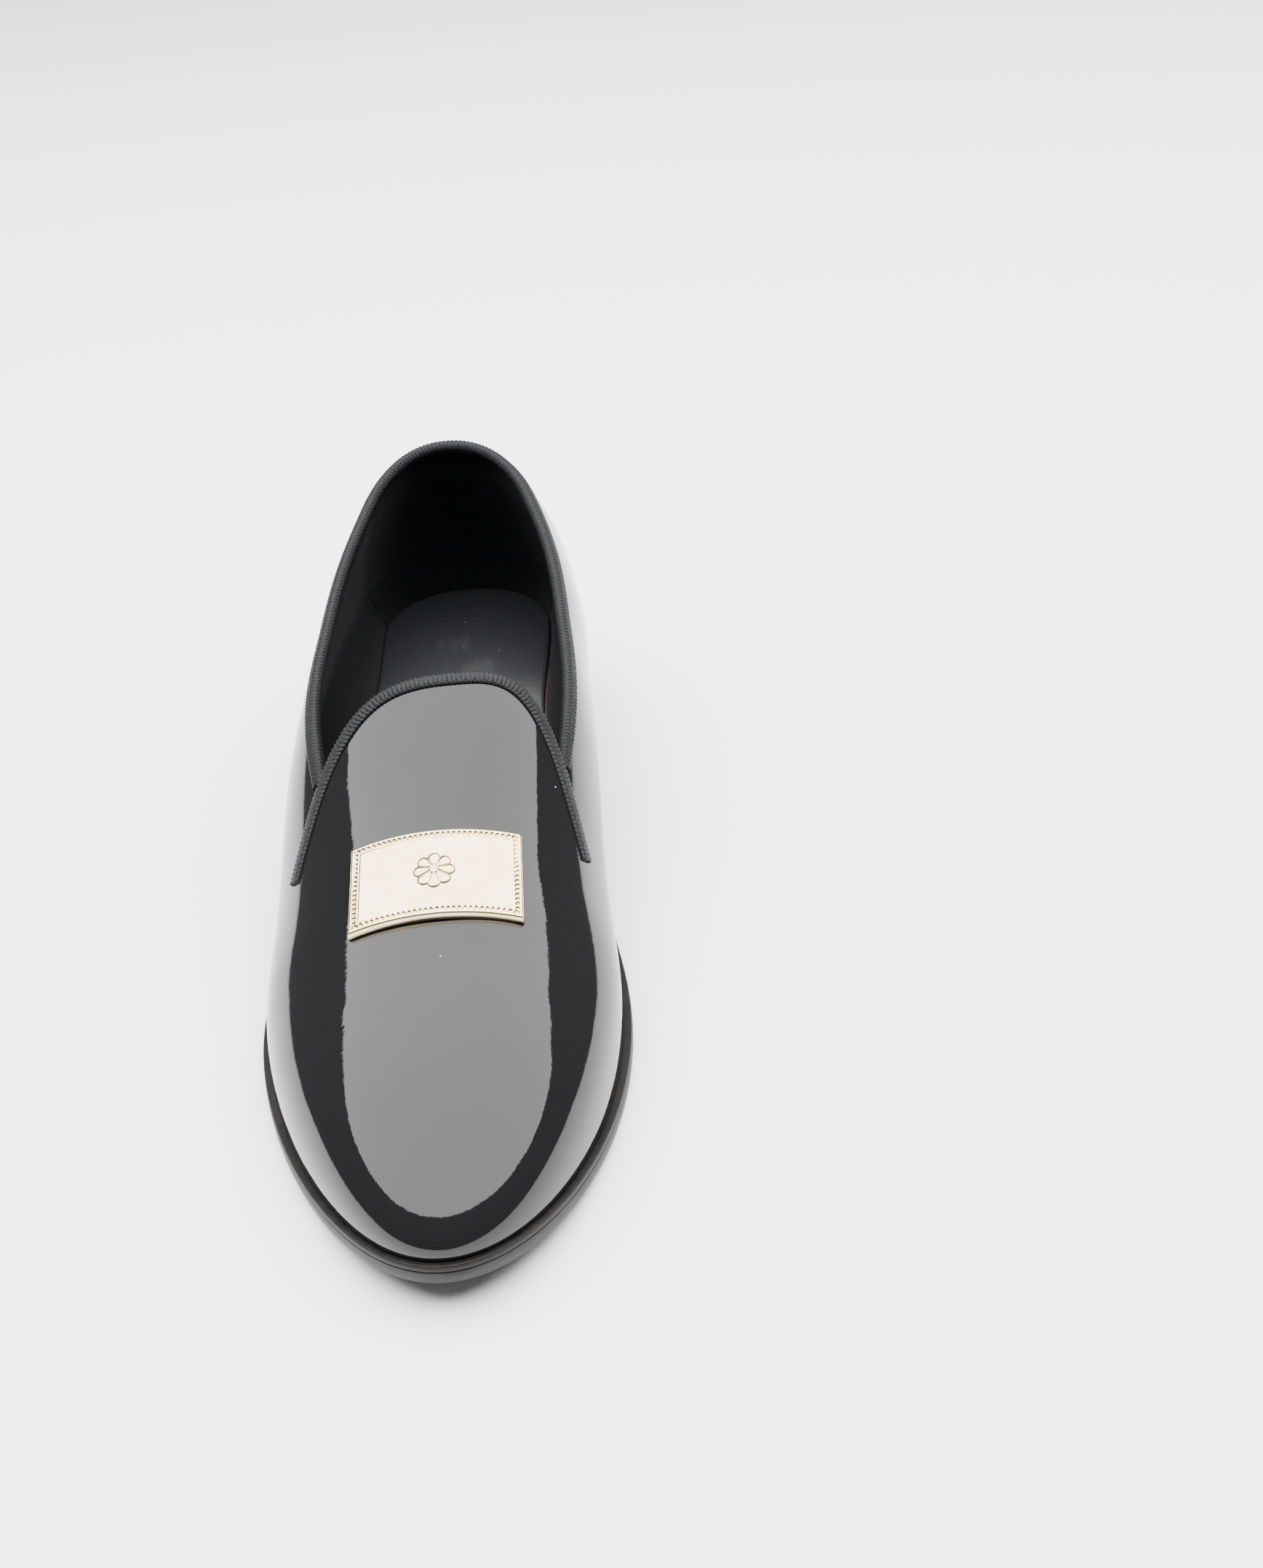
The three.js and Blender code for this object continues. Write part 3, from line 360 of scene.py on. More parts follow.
class Ribs:
    """Ribs of the last from the sole's edge at stations s, on one side, up to the ridge."""

    def __init__(self, s, side):
        self.s = np.asarray(s, float)
        self.side = side
        ridge = ridge_station(self.s)
        self.start = np.stack([ridge_swing(ridge), ridge], -1)
        edge = np.stack([sole_centre(self.s) + side * sole_half_width(self.s), self.s], -1)
        way = edge - self.start
        self.sole_reach = np.linalg.norm(way, axis=-1)
        self.direction = way / self.sole_reach[..., None]
        self.overhang = along(overhang[side], self.s)
        self.feather = self.sole_reach - along(welt, self.s)
        self.square = along(squareness, self.s)

    def plan(self, reach):
        return self.start + self.direction * np.asarray(reach)[..., None]

    def profile(self, lift):
        share = 2 / self.square
        up = np.sin(lift * np.pi / 2) ** share
        out = np.where(lift >= 1, 0, np.abs(np.cos(lift * np.pi / 2)) ** share)
        body = (self.feather + self.overhang) * out
        station = self.plan(body)[..., 1]
        low = sole_bottom(station) + feather_level
        height = (ridge_height(station) - low) * up
        tuck = self.overhang * (1 - ease(height / tuck_height)) * out
        return body - tuck, low + height


def last_point(s, side, lift, depth=0.0):
    """Points on the last's surface, or a depth inside it, in millimetres."""
    s, lift, depth = np.broadcast_arrays(np.asarray(s, float), lift, depth)
    ribs = Ribs(s, side)
    step = 0.004
    reach, z = ribs.profile(lift)
    reach_below, z_below = ribs.profile(np.maximum(0, lift - step))
    reach_above, z_above = ribs.profile(np.minimum(1, lift + step))
    out = z_above - z_below
    rise = reach_below - reach_above
    size = np.hypot(out, rise)
    inner_reach = np.where(lift >= 1, 0, np.maximum(0, reach - out / size * depth))
    inner_z = np.where(lift >= 1, z - depth, z - rise / size * depth)
    plan = ribs.plan(inner_reach)
    return np.stack([plan[..., 0], shoe_length / 2 - plan[..., 1], inner_z], -1)


def lift_at(s, side, height_at, depth=0.0):
    """The lift at which a layer reaches a height, given as a function of station."""
    s = np.asarray(s, float)
    low, high = np.zeros(s.shape), np.ones(s.shape)
    for _ in range(26):
        middle = (low + high) / 2
        point = last_point(s, side, middle, depth)
        under = point[..., 2] < height_at(shoe_length / 2 - point[..., 1])
        low = np.where(under, middle, low)
        high = np.where(under, high, middle)
    return (low + high) / 2


def vamp_edge(lift):
    drop = np.clip((1 - lift) / (1 - slit_lift), 0, 1)
    return throat_station + (slit_station - throat_station) * drop ** throat_roundness


def quarter_edge(lift):
    return vamp_edge(lift) - slit_width


def corner_lift(side):
    lift = 0.6
    for _ in range(40):
        s = quarter_edge(lift)
        lift = (lift + lift_at(s, side, lambda station: topline_height(s))) / 2
    return float(lift)


corner = {side: corner_lift(side) for side in (1, -1)}


def vamp_station(base, lift):
    offset = vamp_edge(np.maximum(lift, slit_lift)) - slit_station
    return base + offset * ((shoe_length - base) / (shoe_length - slit_station)) ** 2


def quarter_station(base, side, climb):
    front = slit_station - slit_width
    lift = slit_lift + (corner[side] - slit_lift) * np.clip(climb, 0, 1)
    return base + (quarter_edge(lift) - front) * (base / front) ** 3


def topline_lift(base, side):
    s = quarter_station(base, side, 1.0)
    return lift_at(s, side, lambda station: topline_height(s))


def closed_sheet(name, patches):
    """A mesh of leather or cloth from grids of its front and back faces, with its edges closed."""
    pairs, quads, count = [], [], 0
    for front, back in patches:
        rows, columns = front.shape[:2]
        ids = np.arange(rows * columns).reshape(rows, columns) + count
        quads.append(np.stack([ids[:-1, :-1], ids[1:, :-1], ids[1:, 1:], ids[:-1, 1:]], -1).reshape(-1, 4))
        pairs.append(np.concatenate([front, back], -1).reshape(-1, 6))
        count += rows * columns
    pairs = np.vstack(pairs)
    _, first, known = np.unique(np.round(pairs / 0.01), axis=0, return_index=True, return_inverse=True)
    pairs = pairs[first]
    faces = []
    for quad in known.ravel()[np.vstack(quads)].tolist():
        corners = list(dict.fromkeys(quad))
        if len(corners) > 2:
            faces.append(corners)
    half = len(pairs)
    edges = {(face[i - 1], face[i]) for face in faces for i in range(len(face))}
    walls = [[b, a, half + a, half + b] for a, b in edges if (b, a) not in edges]
    backs = [[half + v for v in reversed(face)] for face in faces]
    mesh = bpy.data.meshes.new(name)
    mesh.from_pydata(placed(np.vstack([pairs[:, :3], pairs[:, 3:]])).tolist(), [], faces + backs + walls)
    return shown(name, mesh)


def shown(name, mesh, sharp=40):
    """Puts a mesh in the scene, smooth, with its faces turned outwards."""
    shaper = bmesh.new()
    shaper.from_mesh(mesh)
    bmesh.ops.recalc_face_normals(shaper, faces=shaper.faces)
    shaper.to_mesh(mesh)
    shaper.free()
    mesh.shade_smooth()
    mesh.set_sharp_from_angle(angle=np.radians(sharp))
    piece = bpy.data.objects.new(name.replace(" ", "-"), mesh)
    bpy.context.scene.collection.objects.link(piece)
    return piece


def fitted(piece, material, slot, *nodes):
    """Gives a piece its finish, ties it to the shoe and hides the solids that it stands for."""
    piece.data.materials.append(material)
    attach(piece, "root")
    if nodes:
        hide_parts(*nodes)
    return piece


def flipped(grid, side):
    return grid if side > 0 else grid[::-1]


quarter_bases = np.concatenate([
    heel_station * (1 - np.cos(np.linspace(0, 1, 30) * np.pi / 2)),
    np.linspace(heel_station, slit_station - slit_width, 90)[1:]])
toe_base = 206.0
vamp_bases = np.concatenate([
    np.linspace(slit_station, toe_base, 22)[:-1],
    toe_base + (shoe_length - toe_base) * np.sin(np.linspace(0, 1, 74) * np.pi / 2)])
climbs = np.linspace(0, 1, 44)[:, None]
band_lifts = slit_lift * np.linspace(0, 1, 40)[:, None] ** 1.25


def leather_pair(s, side, lift):
    return last_point(s, side, lift), last_point(s, side, lift, leather)


def upper_patches():
    patches = []
    for side in (1, -1):
        bases = np.concatenate([quarter_bases, vamp_bases])
        ribs = Ribs(bases, side)

        def turned(reach, rise):
            plan = ribs.plan(reach)
            z = sole_bottom(plan[:, 1]) + feather_level + rise
            return np.stack([plan[:, 0], shoe_length / 2 - plan[:, 1], z], -1)

        outer = [turned(ribs.feather - turned_in, 0.0), turned(ribs.feather - 0.5, 0.0)]
        inner = [turned(ribs.feather - turned_in, leather), turned(ribs.feather - 1.7, leather)]
        front, back = leather_pair(bases[None], side, band_lifts[1:])
        patches.append((flipped(np.concatenate([outer, front]), side),
                        flipped(np.concatenate([inner, back]), side)))
        top = topline_lift(quarter_bases, side)
        lift = slit_lift + (top[None] - slit_lift) * climbs
        front, back = leather_pair(quarter_station(quarter_bases[None], side, climbs), side, lift)
        patches.append((flipped(front, side), flipped(back, side)))
        lift = slit_lift + (1 - slit_lift) * climbs
        front, back = leather_pair(vamp_station(vamp_bases[None], lift), side, lift + 0 * vamp_bases[None])
        patches.append((flipped(front, side), flipped(back, side)))
    return patches


def skin_group():
    """Finished leather: fine pores, a soft pull over the last, and lint in a few small specks."""
    group, start, end, place = new_group(
        "leather skin", [("Pore Scale", 700.0), ("Pull Scale", 40.0), ("Speck Amount", 0.1)],
        [("Pores", "NodeSocketFloat"), ("Pull", "NodeSocketFloat"), ("Specks", "NodeSocketFloat")])
    pores = noise(group, place.outputs["Object"], start.outputs["Pore Scale"], 3, 0.5)
    pull = noise(group, place.outputs["Object"], start.outputs["Pull Scale"], 1, 0.4)
    cells = group.nodes.new("ShaderNodeTexVoronoi")
    cells.inputs["Scale"].default_value = 260
    group.links.new(place.outputs["Object"], cells.inputs["Vector"])
    group.nodes.new("ShaderNodeSeparateColor")
    chooser = group.nodes["Separate Color"]
    group.links.new(cells.outputs["Color"], chooser.inputs["Color"])
    chosen = maths(group, "LESS_THAN", chooser.outputs["Red"],
                   maths(group, "MULTIPLY", start.outputs["Speck Amount"], 0.1))
    near = maths(group, "LESS_THAN", cells.outputs["Distance"],
                 maths(group, "MULTIPLY", chooser.outputs["Green"], 0.12))
    group.links.new(pores, end.inputs["Pores"])
    group.links.new(pull, end.inputs["Pull"])
    group.links.new(maths(group, "MULTIPLY", chosen, near), end.inputs["Specks"])
    return group


leather_skin = skin_group()

patent_finish, tree, shader = finish(
    "black patent leather", (0.006, 0.006, 0.0065), 0.035, IOR=1.46)
skin = place_group(tree, leather_skin, Pore_Scale=620.0, Pull_Scale=55.0, Speck_Amount=0.10)
tint(tree, shader, skin.outputs["Specks"], (0.006, 0.006, 0.0065), (0.3, 0.3, 0.3), 0.4, 0.6)
waviness = relief(tree, shader, skin.outputs["Pull"], 0.0005, 0.35)
relief(tree, shader, skin.outputs["Pores"], 0.00002, 0.6, waviness)

upper = closed_sheet("upper", upper_patches())
fitted(upper, patent_finish, "patent_leather", "wholecut_upper")


# ------------------------------------------------------------------ back strip
# A strip of the same patent leather covers the back seam. It is skived thin at its edges
# and held by a row of stitches down each side.

strip_width = 13.0
strip_thick = 0.75


def heel_station_at(x):
    share = (2 * np.abs(x) / heel_width) ** heel_squareness
    return heel_station * (1 - (1 - share) ** (1 / heel_squareness))


def strip_points(across, climb, depth):
    """Points on the strip, across the seam in millimetres and up it as a share."""
    across, climb, depth = np.broadcast_arrays(across, climb, depth)
    points = np.zeros(across.shape + (3,))
    for side in (1, -1):
        mask = across * side >= 0
        s = heel_station_at(across[mask])
        top = topline_lift(s, side) - 0.03
        low = 0.04 * np.ones(s.shape)
        points[mask] = last_point(s, side, low + (top - low) * climb[mask], depth[mask])
    return points


across = strip_width / 2 * np.sin(np.linspace(-1, 1, 41) * np.pi / 2)[None]
skive = np.clip((1 - np.abs(across) / (strip_width / 2)) * 7, 0, 1) ** 0.5
rows = np.linspace(0, 1, 90)[:, None]
strip = closed_sheet("back strip", [(strip_points(across, rows, -0.05 - strip_thick * skive),
                                     strip_points(across, rows, 0.3))])
fitted(strip, patent_finish, "patent_leather", "back_strip")

thread_radius = 0.2
stitch_length = 2.1
stitch_pitch = 2.7


def stitch_row(path, outward):
    """Vertices and faces of a row of short plump stitches along a path, in millimetres."""
    steps = np.linalg.norm(np.diff(path, axis=0), axis=1)
    distance = np.concatenate([[0], np.cumsum(steps)])
    rings = np.array([(-0.5, 0.35), (-0.42, 0.8), (-0.2, 1.05), (0.2, 1.05), (0.42, 0.8), (0.5, 0.35)])
    turns = np.linspace(0, 2 * np.pi, 7)[:-1]
    vertices, faces = [], []
    for middle in np.arange(stitch_pitch, distance[-1] - stitch_pitch / 2, stitch_pitch):
        first = len(vertices)
        for place_on, thickness in rings:
            at = middle + place_on * stitch_length
            point = np.array([np.interp(at, distance, path[:, k]) for k in range(3)])
            ahead = np.array([np.interp(at + 0.4, distance, path[:, k]) for k in range(3)]) - point
            normal = np.array([np.interp(at, distance, outward[:, k]) for k in range(3)])
            cross = np.cross(ahead, normal)
            cross /= np.linalg.norm(cross)
            normal /= np.linalg.norm(normal)
            radius = thread_radius * thickness
            centre = point + normal * thread_radius * (thickness - 0.75)
            for turn in turns:
                vertices.append(centre + radius * (np.cos(turn) * cross + np.sin(turn) * normal))
        for ring in range(len(rings) - 1):
            for k in range(6):
                a = first + ring * 6 + k
                b = first + ring * 6 + (k + 1) % 6
                faces.append([a, b, b + 6, a + 6])
        faces.append([first + k for k in range(6)])
        faces.append([first + (len(rings) - 1) * 6 + k for k in range(6)])
    return vertices, faces


def sewn(name, rows):
    """One mesh from several rows of stitches."""
    vertices, faces = [], []
    for path, outward in rows:
        more, around = stitch_row(path, outward)
        faces += [[v + len(vertices) for v in face] for face in around]
        vertices += more
    mesh = bpy.data.meshes.new(name)
    mesh.from_pydata(placed(vertices).tolist(), [], faces)
    return shown(name, mesh, 180)


thread_finish, tree, shader = finish("waxed black thread", (0.006, 0.006, 0.007), 0.8,
                                     Specular_IOR_Level=0.1)
place = tree.nodes.new("ShaderNodeTexCoord")
twist = noise(tree, place.outputs["Object"], 2600, 2)
tint(tree, shader, twist, (0.003, 0.003, 0.004), (0.016, 0.016, 0.018))
relief(tree, shader, twist, 0.00005)

strip_rows = []
for side in (1, -1):
    edge = side * (strip_width / 2 - 1.5)
    climb = np.linspace(0.02, 0.97, 120)
    path = strip_points(edge + 0 * climb, climb, -strip_thick - 0.05)
    outward = path - strip_points(edge + 0 * climb, climb, 1.0)
    strip_rows.append((path, outward))
fitted(sewn("back strip stitches", strip_rows), thread_finish, "patent_leather")


# ------------------------------------------------------------------ suede quarter linings
# Black suede lines the two quarters and the heel, where it grips the stocking. Wear has
# raised its nap and left a little blue-grey dust.

stiffener_thick = 0.8
layer_gap = 0.55
lining_gap = 0.8
lining_thick = 0.8
lining_depth = leather + layer_gap + stiffener_thick + lining_gap
lining_edge_depth = 1.6
skive_height = 12.0
board_thick = 2.2
board_low = feather_level + leather + gap
board_top = board_low + board_thick
grip_station = 26.0


def over_sole(height):
    return lambda station: sole_bottom(station) + height


def foot_lift(s, side):
    return lift_at(s, side, over_sole(board_top + 2 * gap), lining_depth + lining_thick)


def skived(distance):
    return (lining_depth - lining_edge_depth) * (1 - ease(distance / skive_height))


def lining_patch(bases, side):
    """The lining from the insole to the topline, thinned towards its edge."""
    top = topline_lift(bases, side)
    foot = foot_lift(bases, side)
    lift = foot[None] + (top - foot)[None] * np.linspace(0, 1, 60)[:, None]
    share = (lift - slit_lift) / (top[None] - slit_lift)
    s = quarter_station(bases[None], side, share)
    below = topline_height(quarter_station(bases, side, 1.0))[None] - last_point(s, side, lift)[..., 2]
    depth = lining_depth - skived(below)
    return (flipped(last_point(s, side, lift, depth), side),
            flipped(last_point(s, side, lift, depth + lining_thick), side))


def dust_group():
    """Dust rubbed along a surface: long soft streaks, gathered in patches."""
    group, start, end, place = new_group(
        "rubbed dust", [("Streak Scale", 90.0), ("Patch Scale", 25.0), ("Amount", 0.5)],
        [("Dust", "NodeSocketFloat"), ("Nap", "NodeSocketFloat")])
    lying = stretched(group, place.outputs["Object"], 1.0, 0.25, 1.6)
    streaks = noise(group, lying, start.outputs["Streak Scale"], 6, 0.6)
    patches = noise(group, place.outputs["Object"], start.outputs["Patch Scale"], 2)
    both = maths(group, "MULTIPLY", streaks, patches)
    lifted = maths(group, "SUBTRACT", both, maths(group, "SUBTRACT", 0.42, maths(
        group, "MULTIPLY", start.outputs["Amount"], 0.3)))
    group.links.new(maths(group, "MULTIPLY", lifted, 4.0, clamp=True), end.inputs["Dust"])
    group.links.new(noise(group, place.outputs["Object"], 1500, 4, 0.7), end.inputs["Nap"])
    return group


rubbed_dust = dust_group()

suede_finish, tree, shader = finish("black suede", (0.004, 0.0045, 0.006), 0.95,
                                    Sheen_Weight=0.03, Sheen_Roughness=0.5, Specular_IOR_Level=0.1)
dust = place_group(tree, rubbed_dust, Streak_Scale=110.0, Patch_Scale=30.0, Amount=0.32)
tint(tree, shader, dust.outputs["Dust"], (0.0015, 0.0017, 0.0025), (0.009, 0.011, 0.015), 0.0, 1.0)
relief(tree, shader, dust.outputs["Nap"], 0.00025)

for side, word in ((1, "medial"), (-1, "lateral")):
    bases = np.concatenate([[grip_station], quarter_bases[quarter_bases > grip_station]])
    piece = closed_sheet(f"quarter lining {word}", [lining_patch(bases, side)])
    fitted(piece, suede_finish, "lining_suede", f"quarter_lining_{word}")

bases = np.concatenate([quarter_bases[quarter_bases < grip_station - 0.4], [grip_station - 0.4]])
grip = closed_sheet("heel grip", [lining_patch(bases, side) for side in (1, -1)])
fitted(grip, suede_finish, "lining_suede", "heel_grip")


# ------------------------------------------------------------------ vamp lining
# Matte black lining leather under the whole vamp, from the throat to the toe. It is
# skived thin towards the throat, where the ribbon folds over it.

lining_setback = 1.2
vamp_lining_patches = []
for side in (1, -1):
    foot = foot_lift(vamp_bases, side)
    lift = foot[None] + (1 - foot)[None] * np.linspace(0, 1, 60)[:, None]
    setback = lining_setback * (shoe_length - vamp_bases) / (shoe_length - slit_station)
    s = vamp_station(vamp_bases[None], lift) + setback[None]
    edge = s - vamp_edge(np.maximum(lift, slit_lift))
    depth = lining_depth - skived(edge) * ease((lift - slit_lift) / 0.12 + 2)
    vamp_lining_patches.append((flipped(last_point(s, side, lift, depth), side),
                                flipped(last_point(s, side, lift, depth + lining_thick), side)))

lining_finish, tree, shader = finish("matte lining leather", (0.012, 0.012, 0.013), 0.7)
skin = place_group(tree, leather_skin, Pore_Scale=1200.0, Pull_Scale=120.0, Speck_Amount=0.1)
tint(tree, shader, skin.outputs["Pull"], (0.008, 0.008, 0.009), (0.02, 0.02, 0.022))
relief(tree, shader, skin.outputs["Pores"], 0.0001)
fitted(closed_sheet("vamp lining", vamp_lining_patches), lining_finish, "lining_leather", "vamp_lining")


# ------------------------------------------------------------------ elastic gores
# A strip of black woven elastic closes each side slit from behind and lets the throat
# give. It is stitched between the upper and the lining.

gore_reach = 8.0
gore_thick = 0.5
gore_drop = 4.0
gore_depth = leather + 0.15
cord_pitch = 0.9

elastic_finish, tree, shader = finish("woven elastic", (0.014, 0.014, 0.016), 0.9, Sheen_Weight=0.2)
place = tree.nodes.new("ShaderNodeTexCoord")
knit = noise(tree, stretched(tree, place.outputs["Object"], 1, 1, 0.3), 2400, 3)
tint(tree, shader, knit, (0.006, 0.006, 0.008), (0.03, 0.03, 0.034))
relief(tree, shader, knit, 0.0001)

for side, word in ((1, "medial"), (-1, "lateral")):
    top = lift_at(quarter_edge(corner[side]), side, lambda station: topline_height(station) - gore_drop)
    lift = slit_lift + (top - slit_lift) * np.linspace(0, 1, 60)[:, None]
    spot = np.linspace(-gore_reach, gore_reach * 0.6, 100)[None]
    rib = 0.12 * np.abs(np.sin(np.pi * spot / cord_pitch))
    s = vamp_edge(lift) + spot
    near = last_point(s, side, lift, gore_depth + 0.12 - rib)
    far = last_point(s, side, lift, gore_depth + gore_thick)
    piece = closed_sheet(f"elastic gore {word}", [(near, far)])
    fitted(piece, elastic_finish, "elastic_web", f"elastic_gore_{word}")


# ------------------------------------------------------------------ grosgrain bindings
# Ribbed silk ribbon is folded over the topline, and over the vamp's edge from slit to
# slit, and stitched near its lower edge. The vamp's ribbon laps over the topline's.

rib_pitch = 1.35
rib_height = 0.42
ribbon_low = 2.7
rib_slant = 0.35


def surface_normal(s, side, lift):
    reach, turn = 0.8, 0.015
    ahead = last_point(s + reach, side, lift) - last_point(np.maximum(0, s - reach), side, lift)
    up = last_point(s, side, np.minimum(1, lift + turn)) - last_point(s, side, lift - turn)
    normal = np.cross(ahead, up)
    normal /= np.linalg.norm(normal, axis=-1)[..., None]
    inward = last_point(s, side, lift, 1.0) - last_point(s, side, lift)
    return np.where((normal * inward).sum(-1, keepdims=True) > 0, -normal, normal)


def even(path, normals, step):
    """The path resampled at an even step, with frames: point, outward, away, distance."""
    distance = np.concatenate([[0], np.cumsum(np.linalg.norm(np.diff(path, axis=0), axis=1))])
    at = np.arange(0, distance[-1], step)
    smooth = lambda rows: np.stack([np.interp(at, distance, rows[:, k]) for k in range(3)], -1)
    point, outward = smooth(path), smooth(normals)
    for _ in range(30):
        point[1:-1] = (point[:-2] + 2 * point[1:-1] + point[2:]) / 4
        outward[1:-1] = (outward[:-2] + 2 * outward[1:-1] + outward[2:]) / 4
    tangent = np.gradient(point, axis=0)
    tangent /= np.linalg.norm(tangent, axis=1)[:, None]
    away = np.cross(outward, tangent)
    away /= np.linalg.norm(away, axis=1)[:, None]
    outward = np.cross(tangent, away)
    return point, outward, away, at


def ribbon_section():
    """The folded ribbon's outer face as (out, up, rib) and the closing inner face."""
    rows = [(0.02, -ribbon_low, 0.0), (0.3, -ribbon_low - 0.02, 0.3), (0.47, -ribbon_low + 0.25, 0.8)]
    rows += [(0.52, -ribbon_low + t * ribbon_low, 1.0) for t in (0.25, 0.5, 0.75)]
    for angle in np.linspace(0, np.pi, 13):
        rows.append((-0.95 + 1.5 * np.cos(angle), 0.1 + 1.1 * np.sin(angle), 1.0))
    rows += [(-2.45, -0.8, 1.0), (-2.45, -1.8, 1.0), (-2.4, -ribbon_low + 0.2, 0.8), (-2.2, -ribbon_low, 0.3)]
    rows += [(-2.0, -ribbon_low, 0.0), (-1.9, -0.2, 0.0), (-0.9, 0.3, 0.0), (0.0, -0.2, 0.0)]
    return np.array(rows)


def ribbon(name, path, normals, lap=0.0):
    """A folded ribbon swept along an edge, its ribs raised on every face that shows."""
    point, outward, away, at = even(path, normals, rib_pitch / 6)
    rows = ribbon_section()
    loop = rows[:, :2]
    normal = np.roll(loop, -1, axis=0) - np.roll(loop, 1, axis=0)
    normal = np.stack([normal[:, 1], -normal[:, 0]], -1)
    normal /= np.linalg.norm(normal, axis=1)[:, None]
    slant = rib_slant * np.linspace(0, 4, len(rows))
    wave = np.abs(np.sin(np.pi * (at[:, None] / rib_pitch + slant[None] / rib_pitch))) ** 0.7
    rise = rib_height * wave * rows[None, :, 2] + lap
    flat = loop[None] + normal[None] * rise[..., None]
    grid = (point[:, None] + outward[:, None] * flat[..., :1] + away[:, None] * flat[..., 1:])
    stops, sides = grid.shape[:2]
    ids = np.arange(stops * sides).reshape(stops, sides)
    turned = np.roll(ids, -1, axis=1)
    faces = np.stack([ids[:-1], turned[:-1], turned[1:], ids[1:]], -1).reshape(-1, 4).tolist()
    faces += [ids[0].tolist(), ids[-1][::-1].tolist()]
    mesh = bpy.data.meshes.new(name)
    mesh.from_pydata(placed(grid.reshape(-1, 3)).tolist(), [], faces)
    stitch_path = point + outward * (0.66 + lap) - away * (ribbon_low - 0.75)
    return shown(name, mesh, 60), (stitch_path[::3], outward[::3])


def weave_group():
    """Ribbed ribbon: fine cross threads over the ribs and a little fading."""
    group, start, end, place = new_group(
        "ribbon threads", [("Thread Scale", 3000.0), ("Fade Scale", 60.0)],
        [("Threads", "NodeSocketFloat"), ("Fade", "NodeSocketFloat")])
    group.links.new(noise(group, place.outputs["Object"], start.outputs["Thread Scale"], 3, 0.6),
                    end.inputs["Threads"])
    group.links.new(noise(group, place.outputs["Object"], start.outputs["Fade Scale"], 3),
                    end.inputs["Fade"])
    return group


ribbon_threads = weave_group()
ribbon_finish, tree, shader = finish("black grosgrain", (0.012, 0.012, 0.014), 0.5,
                                     Specular_IOR_Level=0.18)
threads = place_group(tree, ribbon_threads, Thread_Scale=3200.0, Fade_Scale=80.0)
tint(tree, shader, threads.outputs["Threads"], (0.003, 0.003, 0.004), (0.02, 0.02, 0.022))
spread(tree, shader, threads.outputs["Fade"], 0.38, 0.52)
relief(tree, shader, threads.outputs["Threads"], 0.00008)

halves = []
for side in (1, -1):
    bases = np.concatenate([heel_station * (1 - np.cos(np.linspace(0, 1, 60) * np.pi / 2)),
                            np.linspace(heel_station, slit_station - slit_width, 160)[1:]])
    s = quarter_station(bases, side, 1.0)
    lift = topline_lift(bases, side)
    halves.append((last_point(s, side, lift), surface_normal(s, side, lift)))
path = np.concatenate([halves[0][0][::-1], halves[1][0][1:]])
normals = np.concatenate([halves[0][1][::-1], halves[1][1][1:]])
topline, topline_stitches = ribbon("topline binding", path, normals)
fitted(topline, ribbon_finish, "grosgrain_ribbon", "topline_binding")

halves = []
for side in (-1, 1):
    lift = slit_lift + 0.005 + (1 - slit_lift - 0.005) * np.linspace(0, 1, 160)
    s = vamp_edge(lift)
    halves.append((last_point(s, side, lift), surface_normal(s, side, lift)))
path = np.concatenate([halves[0][0], halves[1][0][::-1][1:]])
normals = np.concatenate([halves[0][1], halves[1][1][::-1][1:]])
arch, arch_stitches = ribbon("vamp binding", path, normals, lap=0.12)
fitted(arch, ribbon_finish, "grosgrain_ribbon", "vamp_binding")
fitted(sewn("binding stitches", [topline_stitches, arch_stitches]), thread_finish, "grosgrain_ribbon")


# ------------------------------------------------------------------ midsole and outsole
# Two layers of black leather cut to one outline. The outsole's face is painted and
# polished. The edge is trimmed, inked and waxed, and handling has rubbed it a little.

sole_stations = np.concatenate([
    heel_station * (1 - np.cos(np.linspace(0, 1, 40) * np.pi / 2)),
    np.linspace(heel_station, toe_base, 120)[1:],
    toe_base + (shoe_length - toe_base) * np.sin(np.linspace(0, 1, 70)[1:] * np.pi / 2)])


def sole_layer(name, section, shares):
    """A slab with a shaped edge. section lists (inset, height) from its top face to its bottom."""
    grids = []
    for side in (1, -1):
        ribs = Ribs(sole_stations, side)
        rows = []

        def row(reach, height):
            plan = ribs.plan(reach)
            z = sole_bottom(plan[:, 1]) + height
            return np.stack([plan[:, 0], shoe_length / 2 - plan[:, 1], z], -1)

        top, bottom = section[0][1], section[-1][1]
        rows += [row(ribs.sole_reach * share, top) for share in shares]
        rows += [row(np.maximum(ribs.sole_reach - inset, 0), height) for inset, height in section]
        rows += [row(ribs.sole_reach * share, bottom) for share in reversed(shares)]
        grids.append(flipped(np.array(rows), side))
    vertices, faces, count = [], [], 0
    for grid in grids:
        rows, columns = grid.shape[:2]
        ids = np.arange(rows * columns).reshape(rows, columns) + count
        quads = np.stack([ids[:-1, :-1], ids[1:, :-1], ids[1:, 1:], ids[:-1, 1:]], -1)
        faces += quads.reshape(-1, 4).tolist()
        vertices.append(grid.reshape(-1, 3))
        count += rows * columns
    mesh = bpy.data.meshes.new(name)
    mesh.from_pydata(placed(np.vstack(vertices)).tolist(), [], faces)
    shaper = bmesh.new()
    shaper.from_mesh(mesh)
    bmesh.ops.remove_doubles(shaper, verts=shaper.verts, dist=0.00001)
    shaper.to_mesh(mesh)
    shaper.free()
    return shown(name, mesh, 50)


